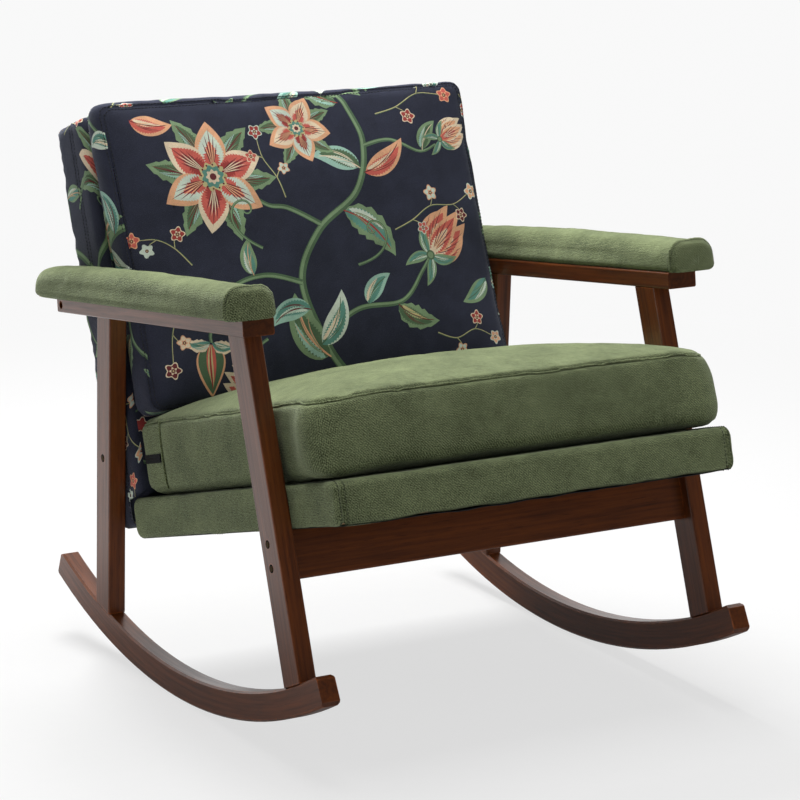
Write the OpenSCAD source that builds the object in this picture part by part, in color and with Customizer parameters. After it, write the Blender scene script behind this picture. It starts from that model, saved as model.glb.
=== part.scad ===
// Upholstered rocking chair on two bent runners.
// X runs across the chair, Y from front to back, Z up. The sitter faces -Y, so the sitter's left is +X.
// The origin is on the floor, in the middle of the chair's length and width.

/* [Side frames] */
// Clear width between the two side frames
inner_w = 577; // [520:1:640]
// Thickness of the boards that the legs and runners are cut from
board_t = 25; // [20:0.5:30]
// Radius of the eased long edges of every wooden bar
edge_r = 2.5; // [1:0.5:4]

/* [Runners] */
// Radius of the curve that the chair rocks on
rock_r = 907; // [800:1:1100]
// Depth of a runner, from its sole to its upper side
runner_h = 38; // [32:1:46]
// Reach of a runner ahead of the point it rests on
runner_front = 425; // [410:1:480]
// Reach of a runner behind the point it rests on
runner_rear = 361; // [300:1:420]
// Cut-off at the corners of a runner's ends
runner_end_cut = 5; // [2:0.5:8]

/* [Legs] */
// Front leg's foot, ahead of the resting point
front_foot_y = 364; // [340:1:375]
// Lean of the front legs, tops to the back
front_lean = 18.8; // [14:0.1:22]
// Width of a front leg, seen from the side
front_leg_w = 44; // [38:1:50]
// Rear leg's front edge, behind the resting point
rear_foot_y = 190; // [170:1:200]
// Lean of the rear legs, tops to the front
rear_lean = 3.3; // [0:0.1:6]
// Width of a rear leg, seen from the side
rear_leg_w = 42; // [38:1:48]

/* [Arms] */
// Front end of the arm rail's underside, ahead of the resting point
arm_front_y = 261; // [245:1:280]
// Height of the arm rail's underside at its front end
arm_front_z = 528; // [500:1:550]
// Slope of the arms, down to the back
arm_slope = 6.7; // [4:0.1:9]
// Length of an arm rail
arm_l = 561; // [540:1:600]
// Width of an arm rail, flush with the leg on the inside
arm_w = 43; // [36:1:50]
// Thickness of an arm rail
arm_t = 22; // [18:1:28]

/* [Arm pads] */
// Width of an arm pad
pad_w = 68; // [60:1:76]
// Thickness of an arm pad at its edges
pad_h = 37; // [32:1:46]
// Rise of the pad's rounded top above its edges
pad_crown = 4; // [2:1:9]
// Overhang of the pad past the front end of the rail
pad_front = 12; // [4:1:25]
// Overhang of the pad past the rear end of the rail
pad_rear = 35; // [15:1:45]
// Thickness of the board inside the pad
pad_board_t = 12; // [9:1:15]
// Border of padding round the board
pad_wrap = 8; // [6:1:10]

/* [Front rail] */
// Bottom edge of the front rail, measured up the front leg
front_rail_z = 125; // [110:1:135]
// Distance of the front rail behind the leg's front edge
front_rail_in = 14; // [8:1:16]
// Thickness of the front rail
front_rail_t = 22; // [18:1:24]

/* [Seat base] */
// Top front edge of the seat base, ahead of the resting point
seat_front_y = 406; // [390:1:420]
// Height of the top front edge of the seat base
seat_front_z = 377; // [370:1:385]
// Slope of the seat, down to the back
seat_slope = 15; // [12:0.1:17]
// Thickness of the upholstered seat base
base_h = 54; // [50:1:60]
// Border of padding round the seat base frame
base_wrap = 6; // [5:0.5:10]
// Depth of the seat base frame's rails
base_rail_h = 38; // [32:1:40]
// Thickness of the seat base frame's rails
base_rail_t = 24; // [18:1:30]
// Thickness of the dust cloth
dust_t = 1.2; // [0.8:0.1:2]

/* [Seat cushion] */
// Distance of the seat cushion's seams from the side frames
cushion_side = 5.5; // [5:0.5:20]
// Height of the cushion's boxing, from seam to seam
cushion_h = 98; // [80:1:110]
// Rise of the cushion's top above its seam
cushion_crown = 36; // [20:1:44]
// Widening of each side of the cushion's front end, ahead of the legs
cushion_flare = 8; // [0:1:12]
// Distance of the cushion's front behind the front of the seat base
cushion_in = 12; // [4:1:30]
// Radius of the cushion's upright corners
cushion_r = 40; // [25:1:60]

/* [Back] */
// Lean of the back
back_lean = 19.5; // [17:0.1:23]
// Rear face of the back at its bottom edge, behind the resting point
back_rear_y = 204; // [195:1:215]
// Height of the bottom edge of the back
back_low_z = 171; // [165:1:180]
// Length of the back along its slope
back_l = 558; // [520:1:620]
// Thickness of the back, with its front padding
back_t = 88; // [84:1:100]
// Depth of the back frame's bars
back_bar_t = 45; // [40:1:48]
// Width of the back frame's bars
back_bar_w = 40; // [34:1:50]
// Thickness of the padding over the frame's edges
back_wrap = 4; // [3:0.5:6]

/* [Back cushion] */
// Distance of the back cushion's seams from the side frames
pillow_side = 12.5; // [8:0.5:30]
// Thickness of the back cushion's boxing at the bottom
pillow_h = 68; // [60:1:84]
// Share of that thickness that is lost at the top edge
pillow_taper_share = 0.26; // [0:0.01:0.35]
// Rise of the back cushion's front above its seam
pillow_crown = 30; // [15:1:38]
// Reach of the back cushion past the top of the back
pillow_over = 2; // [0:1:30]
// Radius of the back cushion's corners
pillow_r = 24; // [20:1:50]

/* [Webbing] */
// Width of a webbing band
band_w = 50; // [30:1:60]
// Thickness of a webbing band
band_t = 1.6; // [1:0.1:2.5]
// Number of bands across the seat base
seat_bands = 6; // [3:1:7]
// Number of bands across the back
back_bands = 5; // [3:1:6]
// Number of bands along the seat base and along the back
long_bands = 4; // [2:1:6]

/* [Fasteners] */
// Diameter of the bolts
bolt_d = 6; // [5:0.5:8]
// Diameter of the bolt heads
bolt_head_d = 10; // [9:0.5:12]
// Height of the bolt heads
bolt_head_h = 6; // [4:0.5:7]
// Depth of the sunk holes for the bolt heads
bolt_sink = 11; // [9:0.5:13]
// Thickness of the caps over the sunk bolts
cap_t = 3; // [2:0.5:4]
// Diameter of the barrel nuts and threaded inserts
nut_d = 10; // [9:0.5:12]
// Height of the bolt from each rear leg into the back, up the leg
back_bolt_up = 217; // [205:1:230]
// Height of the bolt from each arm rail into the back, up the back
arm_bolt_up = 313; // [308:1:318]
// Diameter of the dowels
dowel_d = 10; // [8:1:12]
// Length of the dowels
dowel_l = 34; // [26:1:40]
// Diameter of the wood screws
screw_d = 5; // [4:0.5:6]

/* [Clearances] */
// Play round bolts, dowels and nuts, on the radius
hole_gap = 0.1; // [0.05:0.05:0.3]
// Gap where upholstery lies against its neighbours
soft_gap = 0.3; // [0.2:0.05:0.6]
// Play between the seat cushion's lower back edge and the back
cushion_gap = 1; // [0.5:0.1:3]

/* [Hidden] */

// Colours of the finishes
WOOD = "#6b3d24";
INNER_WOOD = "#cfa878";
GREEN = "#64795a";
PRINT = "#2a2f3f";
STEEL = "#9a9da0";
BLACK = "#1b1b1d";
JUTE = "#8d7a5a";

// Overrun of every cut past the surface it opens
over = 3 * edge_r;
// Size of the blocks that trim away everything on one side of a plane
far = 4 * rock_r;
// Facets of the large rocking curves and of small round things
arc_fn = 240;
hole_fn = 32;

// The frames of reference of the side view: where each starts, as [y, z], and how far it leans back
runner_r = rock_r - runner_h;
front_angle = asin(runner_front / rock_r);
rear_angle = asin(runner_rear / rock_r);
side_x = inner_w / 2;
function runner_top(y) = rock_r - sqrt(pow(runner_r, 2) - pow(y, 2));
front_foot = [-front_foot_y, runner_top(front_foot_y)];
rear_foot = [rear_foot_y, runner_top(rear_foot_y)];
arm_at = [-arm_front_y, arm_front_z];
seat_at = [-seat_front_y, seat_front_z];
back_at = [back_rear_y, back_low_z];

// Point [y, z] of the side view that lies y along and z up a leaning frame of reference
function side_point(at, lean, y, z) =
    [at[0] + y * cos(lean) + z * sin(lean), at[1] - y * sin(lean) + z * cos(lean)];
// How far a point of the side view lies along and up such a frame
function along(at, lean, p) = (p[0] - at[0]) * cos(lean) - (p[1] - at[1]) * sin(lean);
function up(at, lean, p) = (p[0] - at[0]) * sin(lean) + (p[1] - at[1]) * cos(lean);
// Height up one frame, y along it, at which it meets the plane that lies n up another
function meets(at, lean, y, at2, lean2, n) =
    (n - up(at2, lean2, side_point(at, lean, y, 0))) / cos(lean - lean2);

// Back: layers, counted from its rear face to the front
panel_t = back_wrap / 2;
frame_front = panel_t + back_bar_t;
thin_t = frame_front + back_wrap;
// Distance along the seat, n above its plane, to the plane that lies depth in front of the back's rear
function seat_reach(n, depth) =
    let (p = side_point(seat_at, seat_slope, 0, n))
    (-depth - along(back_at, back_lean, p)) / cos(back_lean - seat_slope);

// Seat base
soft_w = inner_w - 2 * soft_gap;
base_l = seat_reach(-base_h, thin_t + soft_gap);
base_frame_w = soft_w - 2 * base_wrap;
base_frame_l = base_l - 2 * base_wrap;
base_frame_z = dust_t - base_h;
web_z = base_frame_z + base_rail_h;
// The cross rail stands over the front rail
front_rail_y = front_rail_in + front_rail_t / 2;
front_rail_top = meets(front_foot, front_lean, front_rail_y, seat_at, seat_slope, -base_h);
cross_rail_y = along(seat_at, seat_slope, side_point(front_foot, front_lean, front_rail_y, front_rail_top));
cross_rail_w = 2.2 * front_rail_t;

// Seat cushion
cushion_w = inner_w - 2 * cushion_side;
cushion_l = seat_reach(soft_gap, back_t + cushion_gap) - cushion_in;
cushion_low = soft_gap;
cushion_b = cushion_l / 2;
bulge = cushion_h / 40;
draw_in = cushion_h / 30;
zip_w = cushion_h / 11;
zip_t = zip_w / 8;
zip_side = cushion_h * 0.68;

// Back cushion: its lower end lies on the crown of the seat cushion
pillow_w = inner_w - 2 * pillow_side;
pillow_y = back_t + soft_gap;
pillow_rest = cushion_low + cushion_h + cushion_crown / 4;
pillow_low = meets(back_at, back_lean, -pillow_y - pillow_h / 2, seat_at, seat_slope, pillow_rest);
pillow_l = back_l + pillow_over - pillow_low;
// Distance from the rear end of the seat cushion to the front of the back cushion
pillow_cover = cushion_in + cushion_l - seat_reach(pillow_rest, pillow_y + pillow_h + pillow_crown);
crown_under = cushion_crown * crown_rise(pillow_cover / cushion_b);
pillow_under = cushion_low + cushion_h + crown_under + soft_gap;

// Bolts: how far each reaches past the leg or rail into what it holds
rail_bite = 1.8 * front_rail_t;
stile_bite = back_bar_w * 0.7;
nut_in = rail_bite * 0.7;
nut_l = front_rail_t * 0.8;
insert_l = stile_bite * 0.6;
front_bolt_z = [front_rail_z + nut_d * 1.75, front_rail_z + nut_d * 4.75];
leg_bolt_up = back_bolt_up;
hole_d = bolt_d + 4 * hole_gap;
sink_d = bolt_head_d + 10 * hole_gap;

// Places of the dowels across a leg, and of the screws and rings along the pieces, as shares
dowel_shares = [0.28, 0.72];
pad_screw_shares = [0.15, 0.5, 0.78];
base_screw_shares = [-0.3, 0, 0.3];

// The whole chair is moved so that its length is centred on the origin
front_end = -runner_front;
rear_end = back_rear_y + back_l * sin(back_lean);
centre_y = (front_end + rear_end) / 2;
module chair() {
    translate([0, -centre_y, 0]) children();
}

// Puts children in a frame of reference of the side view
module pose(at, lean) {
    translate([0, at[0], at[1]]) rotate([-lean, 0, 0]) children();
}

// Puts what is modelled for the left side frame on either side
module side(s) {
    mirror([s < 0 ? 1 : 0, 0, 0]) children();
}

// Rectangle with eased corners, from the origin
module eased_rect(w, d, r) {
    translate([r, 0]) square([w - 2 * r, d]);
    translate([0, r]) square([w, d - 2 * r]);
    for (x = [r, w - r], y = [r, d - r])
        translate([x, y]) circle(r = r, $fn = hole_fn);
}

// Rectangle with bevelled corners, from the origin
module bevelled_rect(w, d, r) {
    polygon([[r, 0], [w - r, 0], [w, r], [w, d - r], [w - r, d], [r, d], [0, d - r], [0, r]]);
}

// Bars with eased long edges, from the origin, along Z, Y and X
module bar_z(w, d, l, r = edge_r) {
    linear_extrude(l) eased_rect(w, d, r);
}

module bar_y(w, l, h, r = edge_r) {
    translate([0, l, 0]) rotate([90, 0, 0]) linear_extrude(l) eased_rect(w, h, r);
}

module bar_x(l, d, h, r = edge_r) {
    rotate([90, 0, 90]) linear_extrude(l) eased_rect(d, h, r);
}

// Upholstered block, from the origin, with corners rounded by face_r in front view and side_r in side view
module block(w, d, h, face_r, side_r) {
    intersection() {
        bar_y(w, d, h, face_r);
        bar_x(w, d, h, side_r);
    }
}

// Everything below or above the plane z = 0 of the current frame
module below() {
    translate([-far / 2, -far / 2, -far]) cube(far);
}

module above() {
    translate([-far / 2, -far / 2, 0]) cube(far);
}

// Rod along +X or +Z, from the origin
module rod_x(d, l) {
    rotate([0, 90, 0]) cylinder(d = d, h = l, $fn = hole_fn);
}

module rod_z(d, l) {
    cylinder(d = d, h = l, $fn = hole_fn);
}

// Closed skin over a row of rings with equal numbers of points. The rings run anticlockwise,
// seen from the end that they rise to, or clockwise where away is true.
module loft(rings, away = false) {
    n = len(rings[0]);
    last = (len(rings) - 1) * n;
    sides = [
        for (k = [0 : len(rings) - 2], i = [0 : n - 1])
            let (a = k * n + i, b = k * n + (i + 1) % n)
            each away ? [[a, b, b + n], [a, b + n, a + n]] : [[a, b + n, b], [a, a + n, b + n]]
    ];
    start = [for (i = [0 : n - 1]) away ? n - 1 - i : i];
    finish = [for (i = [0 : n - 1]) last + (away ? i : n - 1 - i)];
    polyhedron([for (ring = rings) each ring], concat(sides, [start], [finish]));
}

// Outline of a cushion: half sizes a and b, corner radius r, sides drawn in by pull at their middles
function outline(a, b, r, pull) = [
    for (q = [0 : 3])
        let (ha = q % 2 == 0 ? a : b, hb = q % 2 == 0 ? b : a, c = cos(90 * q), s = sin(90 * q))
        each [for (p = concat(
            [for (j = [0 : side_steps - 1])
                let (t = j / side_steps)
                [ha - pull * 4 * t * (1 - t), (2 * t - 1) * (hb - r)]],
            [for (j = [0 : corner_steps - 1])
                let (turn = 90 * j / corner_steps)
                [ha - r + r * cos(turn), hb - r + r * sin(turn)]]))
            [p[0] * c - p[1] * s, p[0] * s + p[1] * c]]
];
side_steps = 8;
corner_steps = 5;

// Corner radius of the outline that lies a distance in from the first: it grows towards the middle
function inner_radius(a, b, r, in) = min(r + 0.5 * max(in, 0), 0.9 * min(a - in, b - in));

// Profile of a boxed cushion, as [distance in from the seam, height]: its rounded lower edge, its
// bulging side, its seam and its crown
crown_shares = [0.06, 0.14, 0.26, 0.42, 0.62, 0.85];
function crown_rise(share) = 1 - pow(1 - min(share, 1), 3);
function cushion_profile(h, crown, edge, swell, depth) = concat(
    [for (turn = [0, 30, 60, 90]) [edge * (1 - sin(turn)), edge * (1 - cos(turn))]],
    [[-swell, h * 0.5], [-swell * 0.6, h * 0.82], [0, h]],
    [for (s = crown_shares) [s * depth, h + crown * crown_rise(s)]]
);

// Rings of a boxed cushion from half sizes, radius, profile and the pull on its sides
function cushion_rings(a, b, r, pull, profile) = [
    for (p = profile)
        [for (q = outline(a - p[0], b - p[0], inner_radius(a, b, r, p[0]),
                          pull * max(0, 1 - p[0] / (min(a, b) / 2))))
            [q[0], q[1], p[1]]]
];

// Runners: a ring sector whose ends are cut off at the corners
module on_sole(angle) {
    translate([0, 0, rock_r]) rotate([angle, 0, 0]) translate([0, 0, -rock_r]) children();
}

module foot_dowel_places() {
    for (k = dowel_shares) {
        pose(front_foot, front_lean) translate([side_x + board_t / 2, front_leg_w * k, 0]) children();
        pose(rear_foot, -rear_lean) translate([side_x + board_t / 2, rear_leg_w * k, 0]) children();
    }
}

module dowel(gap) {
    length = dowel_l + 20 * gap;
    translate([0, 0, -length / 2]) rod_z(dowel_d + 2 * gap, length);
}

module end_cut(angle) {
    edge = runner_end_cut * sqrt(2);
    for (z = [0, runner_h])
        on_sole(angle) translate([side_x + board_t / 2, 0, z]) rotate([45, 0, 0])
            cube([2 * board_t, edge, edge], center = true);
}

module runner(s) {
    color(WOOD) side(s) difference() {
        translate([side_x, 0, rock_r]) rotate([0, 90, 0]) rotate([0, 0, -front_angle])
            rotate_extrude(angle = front_angle + rear_angle, $fn = arc_fn)
                translate([runner_r, 0]) bevelled_rect(runner_h, board_t, edge_r);
        foot_dowel_places() dowel(hole_gap);
        end_cut(-front_angle);
        end_cut(rear_angle);
    }
}

// Legs: bars cut to the runner's curve below and to the arm rail above
module cut_leg() {
    difference() {
        intersection() {
            children();
            translate([0, 0, rock_r]) rotate([0, 90, 0])
                cylinder(r = runner_r, h = side_x + 2 * board_t, $fn = arc_fn);
        }
        pose(arm_at, arm_slope) above();
        foot_dowel_places() dowel(hole_gap);
        arm_dowel_places() dowel(hole_gap);
    }
}

// Hole for a bolt from outside through a wall, with the sunk place for its head
module bolt_hole(wall) {
    translate([-over, 0, 0]) rod_x(hole_d, wall + 2 * over);
    translate([wall - bolt_sink, 0, 0]) rod_x(sink_d, bolt_sink + over);
}

// Bolt with its head in that place, reaching bite past the wall
module bolt(wall, bite) {
    translate([-bite, 0, 0]) rod_x(bolt_d, bite + wall - bolt_sink + bolt_head_h / 2);
    translate([wall - bolt_sink, 0, 0]) rod_x(bolt_head_d, bolt_head_h);
}

module front_bolt_places() {
    for (z = front_bolt_z)
        pose(front_foot, front_lean) translate([side_x, front_rail_y, z]) children();
}

module leg_bolt_place() {
    pose(rear_foot, -rear_lean) translate([side_x, rear_leg_w / 2, leg_bolt_up]) children();
}

module arm_bolt_place() {
    pose(back_at, back_lean) translate([side_x, -panel_t - back_bar_t / 2, arm_bolt_up]) children();
}

module front_leg(s) {
    color(WOOD) side(s) difference() {
        cut_leg() pose(front_foot, front_lean)
            translate([side_x, 0, -runner_h]) bar_z(board_t, front_leg_w, arm_front_z);
        front_bolt_places() bolt_hole(board_t);
    }
}

module rear_leg(s) {
    color(WOOD) side(s) difference() {
        cut_leg() pose(rear_foot, -rear_lean)
            translate([side_x, 0, -runner_h]) bar_z(board_t, rear_leg_w, arm_front_z);
        leg_bolt_place() bolt_hole(board_t);
    }
}

// Arm rails. The dowels stand in the middle of each leg's top.
function leg_top(foot, lean, w) =
    along(arm_at, arm_slope, side_point(foot, lean, w / 2, meets(foot, lean, w / 2, arm_at, arm_slope, 0)));

module arm_dowel_places() {
    for (k = dowel_shares) {
        pose(arm_at, arm_slope) translate([side_x + board_t / 2,
            leg_top(front_foot, front_lean, front_leg_w) + (k - 0.5) * front_leg_w, 0]) children();
        pose(arm_at, arm_slope) translate([side_x + board_t / 2,
            leg_top(rear_foot, -rear_lean, rear_leg_w) + (k - 0.5) * rear_leg_w, 0]) children();
    }
}

module pad_screw_places() {
    for (k = pad_screw_shares)
        pose(arm_at, arm_slope) translate([side_x + arm_w / 2, arm_l * k, 0]) children();
}

module pad_screw(gap) {
    rod_z(screw_d + 2 * gap, arm_t + pad_board_t * 0.7 + gap);
    cylinder(d1 = 2 * (screw_d + gap), d2 = screw_d + 2 * gap, h = screw_d / 2, $fn = hole_fn);
    if (gap > 0)
        translate([0, 0, -over]) rod_z(2 * (screw_d + gap), over);
}

module arm_rail(s) {
    color(WOOD) side(s) difference() {
        pose(arm_at, arm_slope) translate([side_x, 0, 0]) bar_y(arm_w, arm_l, arm_t);
        arm_dowel_places() dowel(hole_gap);
        arm_bolt_place() bolt_hole(arm_w);
        pad_screw_places() pad_screw(hole_gap);
    }
}

module arm_dowels() {
    color(INNER_WOOD) for (s = [-1, 1]) side(s) arm_dowel_places() dowel(0);
}

module foot_dowels() {
    color(INNER_WOOD) for (s = [-1, 1]) side(s) foot_dowel_places() dowel(0);
}

// Arm pads: a board under foam, covered in cloth
pad_l = arm_l + pad_front + pad_rear;
board_w = pad_w - 2 * pad_wrap;
board_l = pad_l - 4 * pad_wrap;

module pad_place() {
    pose(arm_at, arm_slope) translate([side_x + soft_gap, -pad_front, arm_t]) children();
}

module board_block(gap, depth) {
    translate([pad_wrap - gap, 2 * pad_wrap - gap, pad_board_t - depth])
        cube([board_w + 2 * gap, board_l + 2 * gap, depth + gap]);
}

// Section of the arm pad, drawn in by a distance at its ends: flat below, rounded above
function pad_section(y, in) =
    let (low_r = pad_h / 5, top_r = (pad_h - in) / 2, w = pad_w - 2 * in, h = pad_h - in,
         corners = [[w - low_r, low_r, low_r, -90, 3], [w - top_r, h - top_r, top_r, 0, 6],
                    [top_r, h - top_r, top_r, 90, 6], [low_r, low_r, low_r, 180, 3]])
    [for (c = corners, i = [0 : c[4] - 1])
        let (turn = c[3] + 90 * i / (c[4] - 1), x = c[0] + c[2] * cos(turn), z = c[1] + c[2] * sin(turn))
        [in + x, y, z * (1 + pad_crown / h * sin(180 * x / w))]];

// The pad's ends, as shares of its thickness: [distance from the end, distance drawn in]
pad_front_shares = [[0, 0.16], [0.05, 0.05], [0.18, 0]];
pad_middle_shares = [0.25, 0.5, 0.75];
pad_rear_shares = [[1.5, 0], [0.8, 0.1], [0.4, 0.24], [0.12, 0.42], [0, 0.55]];
pad_sections = concat(
    [for (p = pad_front_shares) pad_section(p[0] * pad_h, p[1] * pad_h)],
    [for (k = pad_middle_shares) pad_section(k * pad_l, 0)],
    [for (p = pad_rear_shares) pad_section(pad_l - p[0] * pad_h, p[1] * pad_h)]
);

module arm_board(s) {
    color(INNER_WOOD) side(s) difference() {
        pad_place() board_block(0, pad_board_t);
        pad_screw_places() pad_screw(hole_gap);
    }
}

module arm_pad(s) {
    color(GREEN) side(s) pad_place() difference() {
        loft(pad_sections, away = true);
        board_block(soft_gap, pad_board_t + over);
    }
}

module arm_pad_screws() {
    color(STEEL) for (s = [-1, 1]) side(s) pad_screw_places() pad_screw(0);
}

// Front rail, cut along its top to the underside of the seat base
module nut_places() {
    for (z = front_bolt_z)
        pose(front_foot, front_lean) translate([side_x - nut_in, front_rail_in + front_rail_t, z])
            rotate([90, 0, 0]) children();
}

module base_screw_places() {
    for (k = base_screw_shares)
        pose(front_foot, front_lean) translate([k * inner_w, front_rail_y, front_rail_top]) children();
}

// A long wood screw up through the front rail, sunk from below
screw_sink = front_rail_t * 1.8;
screw_l = front_rail_t * 2;
module base_screw(gap) {
    rail_h = front_rail_top - front_rail_z;
    head = rail_h - screw_sink;
    translate([0, 0, -head]) rod_z(screw_d + 2 * gap, screw_l + gap);
    translate([0, 0, -head - (gap > 0 ? screw_sink + over : screw_d / 2)])
        rod_z(2 * screw_d + 2 * gap, gap > 0 ? screw_sink + over : screw_d / 2);
}

module front_rail() {
    color(WOOD) difference() {
        pose(front_foot, front_lean) translate([-side_x, front_rail_in, front_rail_z])
            bar_x(inner_w, front_rail_t, 2 * base_h);
        pose(seat_at, seat_slope) translate([0, 0, -base_h]) above();
        base_screw_places() base_screw(hole_gap);
        for (s = [-1, 1]) side(s) {
            front_bolt_places() translate([-rail_bite - over, 0, 0]) rod_x(hole_d, rail_bite + 2 * over);
            nut_places() translate([0, 0, -over]) rod_z(nut_d + 2 * hole_gap, nut_l + over);
        }
    }
}

module front_rail_bolts() {
    color(STEEL) for (s = [-1, 1]) side(s) front_bolt_places() bolt(board_t, rail_bite);
}

module front_rail_nuts() {
    color(STEEL) for (s = [-1, 1]) side(s) difference() {
        nut_places() rod_z(nut_d, nut_l);
        front_bolt_places() translate([-rail_bite - over, 0, 0]) rod_x(bolt_d + 2 * hole_gap, rail_bite + over);
    }
}

// Caps over the sunk bolts in the legs
module leg_caps() {
    color(WOOD) for (s = [-1, 1]) side(s) {
        front_bolt_places() translate([board_t - cap_t, 0, 0]) rod_x(sink_d - 2 * hole_gap, cap_t);
        leg_bolt_place() translate([board_t - cap_t, 0, 0]) rod_x(sink_d - 2 * hole_gap, cap_t);
    }
}

// Seat base frame, in the frame of reference of the seat
module seat_pose() {
    pose(seat_at, seat_slope) children();
}

module base_side_rail(s) {
    color(INNER_WOOD) side(s) seat_pose()
        translate([base_frame_w / 2 - base_rail_t, base_wrap, base_frame_z])
            cube([base_rail_t, base_frame_l, base_rail_h]);
}

module base_end_rail(y) {
    color(INNER_WOOD) seat_pose() translate([base_rail_t - base_frame_w / 2, y, base_frame_z])
        cube([base_frame_w - 2 * base_rail_t, base_rail_t, base_rail_h]);
}

module base_front_rail() {
    base_end_rail(base_wrap);
}

module base_back_rail() {
    base_end_rail(base_wrap + base_frame_l - base_rail_t);
}

module base_cross_rail() {
    color(INNER_WOOD) difference() {
        seat_pose() translate([base_rail_t - base_frame_w / 2, cross_rail_y - cross_rail_w / 2, base_frame_z])
            cube([base_frame_w - 2 * base_rail_t, cross_rail_w, base_rail_h / 2]);
        base_screw_places() base_screw(hole_gap);
    }
}

module base_screws() {
    color(STEEL) base_screw_places() base_screw(0);
}

// Three-cornered blocks glued into the corners of the frame
module base_corner_blocks() {
    leg = 2.5 * base_rail_t;
    color(INNER_WOOD) for (s = [-1, 1], e = [0, 1])
        side(s) seat_pose() translate([base_frame_w / 2 - base_rail_t, base_wrap + base_frame_l / 2, base_frame_z])
            mirror([0, e, 0]) translate([0, base_frame_l / 2 - base_rail_t, 0])
                linear_extrude(base_rail_h * 0.7) polygon([[0, 0], [-leg, 0], [0, -leg]]);
}

// Bands laid across and along an opening w wide and l long, in two layers
module bands(w, l, across, lengthwise) {
    for (k = [1 : across])
        translate([-w / 2, l * k / (across + 1) - band_w / 2, 0]) cube([w, band_w, band_t]);
    for (k = [1 : lengthwise])
        translate([w * (k / (lengthwise + 1) - 0.5) - band_w / 2, 0, band_t]) cube([band_w, l, band_t]);
}

module base_webbing() {
    color(JUTE) seat_pose() translate([0, base_wrap, web_z])
        bands(base_frame_w, base_frame_l, seat_bands, long_bands);
}

// Seat base: padding and cover, open below for its frame, with the front edge rolled over
base_face_r = base_h / 4;
base_side_r = base_h / 9;

module seat_base() {
    color(GREEN) seat_pose() difference() {
        translate([-soft_w / 2, 0, -base_h]) block(soft_w, base_l, base_h, base_face_r, base_side_r);
        translate([-base_frame_w / 2 - soft_gap, base_wrap - soft_gap, -base_h - over])
            cube([base_frame_w + 2 * soft_gap, base_frame_l + 2 * soft_gap,
                  web_z + 2 * band_t + soft_gap + base_h + over]);
    }
}

module dust_cloth() {
    color(BLACK) difference() {
        seat_pose() translate([-base_frame_w / 2, base_wrap, -base_h]) cube([base_frame_w, base_frame_l, dust_t]);
        base_screw_places() base_screw(hole_gap);
    }
}

// Back frame, in the frame of reference of the back
stile_x = soft_w / 2 - back_wrap;
rail_l = 2 * (stile_x - back_bar_w);
frame_low = back_wrap;
frame_high = back_l - back_wrap;
module back_pose() {
    pose(back_at, back_lean) children();
}

module back_stile(s) {
    color(INNER_WOOD) side(s) difference() {
        back_pose() translate([stile_x - back_bar_w, -frame_front, frame_low])
            cube([back_bar_w, back_bar_t, frame_high - frame_low]);
        for (low = [true, false])
            back_bolt_place(low) {
                translate([-stile_bite - over, 0, 0]) rod_x(hole_d, stile_bite + over);
                translate([stile_x - side_x - insert_l, 0, 0]) rod_x(nut_d + 2 * hole_gap, insert_l + over);
            }
    }
}

module back_bolt_place(low) {
    if (low)
        leg_bolt_place() children();
    else
        arm_bolt_place() children();
}

module back_rail(z, h) {
    color(INNER_WOOD) back_pose() translate([-rail_l / 2, -frame_front, z]) cube([rail_l, back_bar_t, h]);
}

module back_top_rail() {
    back_rail(frame_high - back_bar_w, back_bar_w);
}

module back_middle_rail() {
    back_rail(back_l * 0.36, back_bar_w);
}

module back_lower_rail() {
    back_rail(frame_low, 1.5 * back_bar_w);
}

module back_webbing() {
    color(JUTE) back_pose() translate([0, -frame_front, web_low]) rotate([90, 0, 0])
        bands(2 * stile_x, frame_high - web_low, back_bands, long_bands);
}

// The webbing starts above the seat base
web_low = meets(back_at, back_lean, -thin_t, seat_at, seat_slope, cushion_low) + band_w / 2;

// Back pad: the padding and cover of the frame. It is thick above the seat base and thin behind it.
back_face_r = 2 * back_wrap;
back_side_r = 2 * back_wrap;

module back_pad() {
    color(PRINT) difference() {
        back_pose() translate([-soft_w / 2, -back_t, 0]) block(soft_w, back_t, back_l, back_face_r, back_side_r);
        intersection() {
            seat_pose() translate([0, 0, cushion_low]) below();
            back_pose() translate([0, -thin_t, 0]) rotate([90, 0, 0]) above();
        }
        back_pose() frame_pocket();
        for (s = [-1, 1], low = [true, false])
            side(s) back_bolt_place(low) translate([stile_x - side_x - over, 0, 0])
                rod_x(hole_d, side_x - stile_x + 2 * over);
    }
}

module frame_pocket() {
    gap = soft_gap;
    translate([-stile_x - gap, -frame_front - gap, frame_low - gap])
        cube([2 * (stile_x + gap), back_bar_t + gap, frame_high - frame_low + 2 * gap]);
    translate([-stile_x - gap, -frame_front - 2 * band_t - gap, web_low - gap])
        cube([2 * (stile_x + gap), 2 * band_t + 2 * gap, frame_high - web_low + 2 * gap]);
    panel_block(gap, panel_t + over);
}

// The panel lies inside the rounded edges of the back
module panel_block(gap, depth) {
    w = soft_w - 2 * back_side_r + 2 * gap;
    translate([-w / 2, -panel_t, back_side_r - gap]) cube([w, depth, back_l - 2 * back_side_r + 2 * gap]);
}

module back_panel() {
    color(PRINT) back_pose() panel_block(0, panel_t);
}

module back_leg_bolts() {
    color(STEEL) for (s = [-1, 1]) side(s) leg_bolt_place() bolt(board_t, stile_bite);
}

module back_arm_bolts() {
    color(STEEL) for (s = [-1, 1]) side(s) arm_bolt_place() bolt(arm_w, stile_bite);
}

module back_inserts() {
    color(STEEL) for (s = [-1, 1], low = [true, false]) side(s) back_bolt_place(low)
        translate([stile_x - side_x - insert_l, 0, 0]) difference() {
            rod_x(nut_d, insert_l);
            translate([-over, 0, 0]) rod_x(bolt_d + 2 * hole_gap, insert_l + 2 * over);
        }
}

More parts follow.
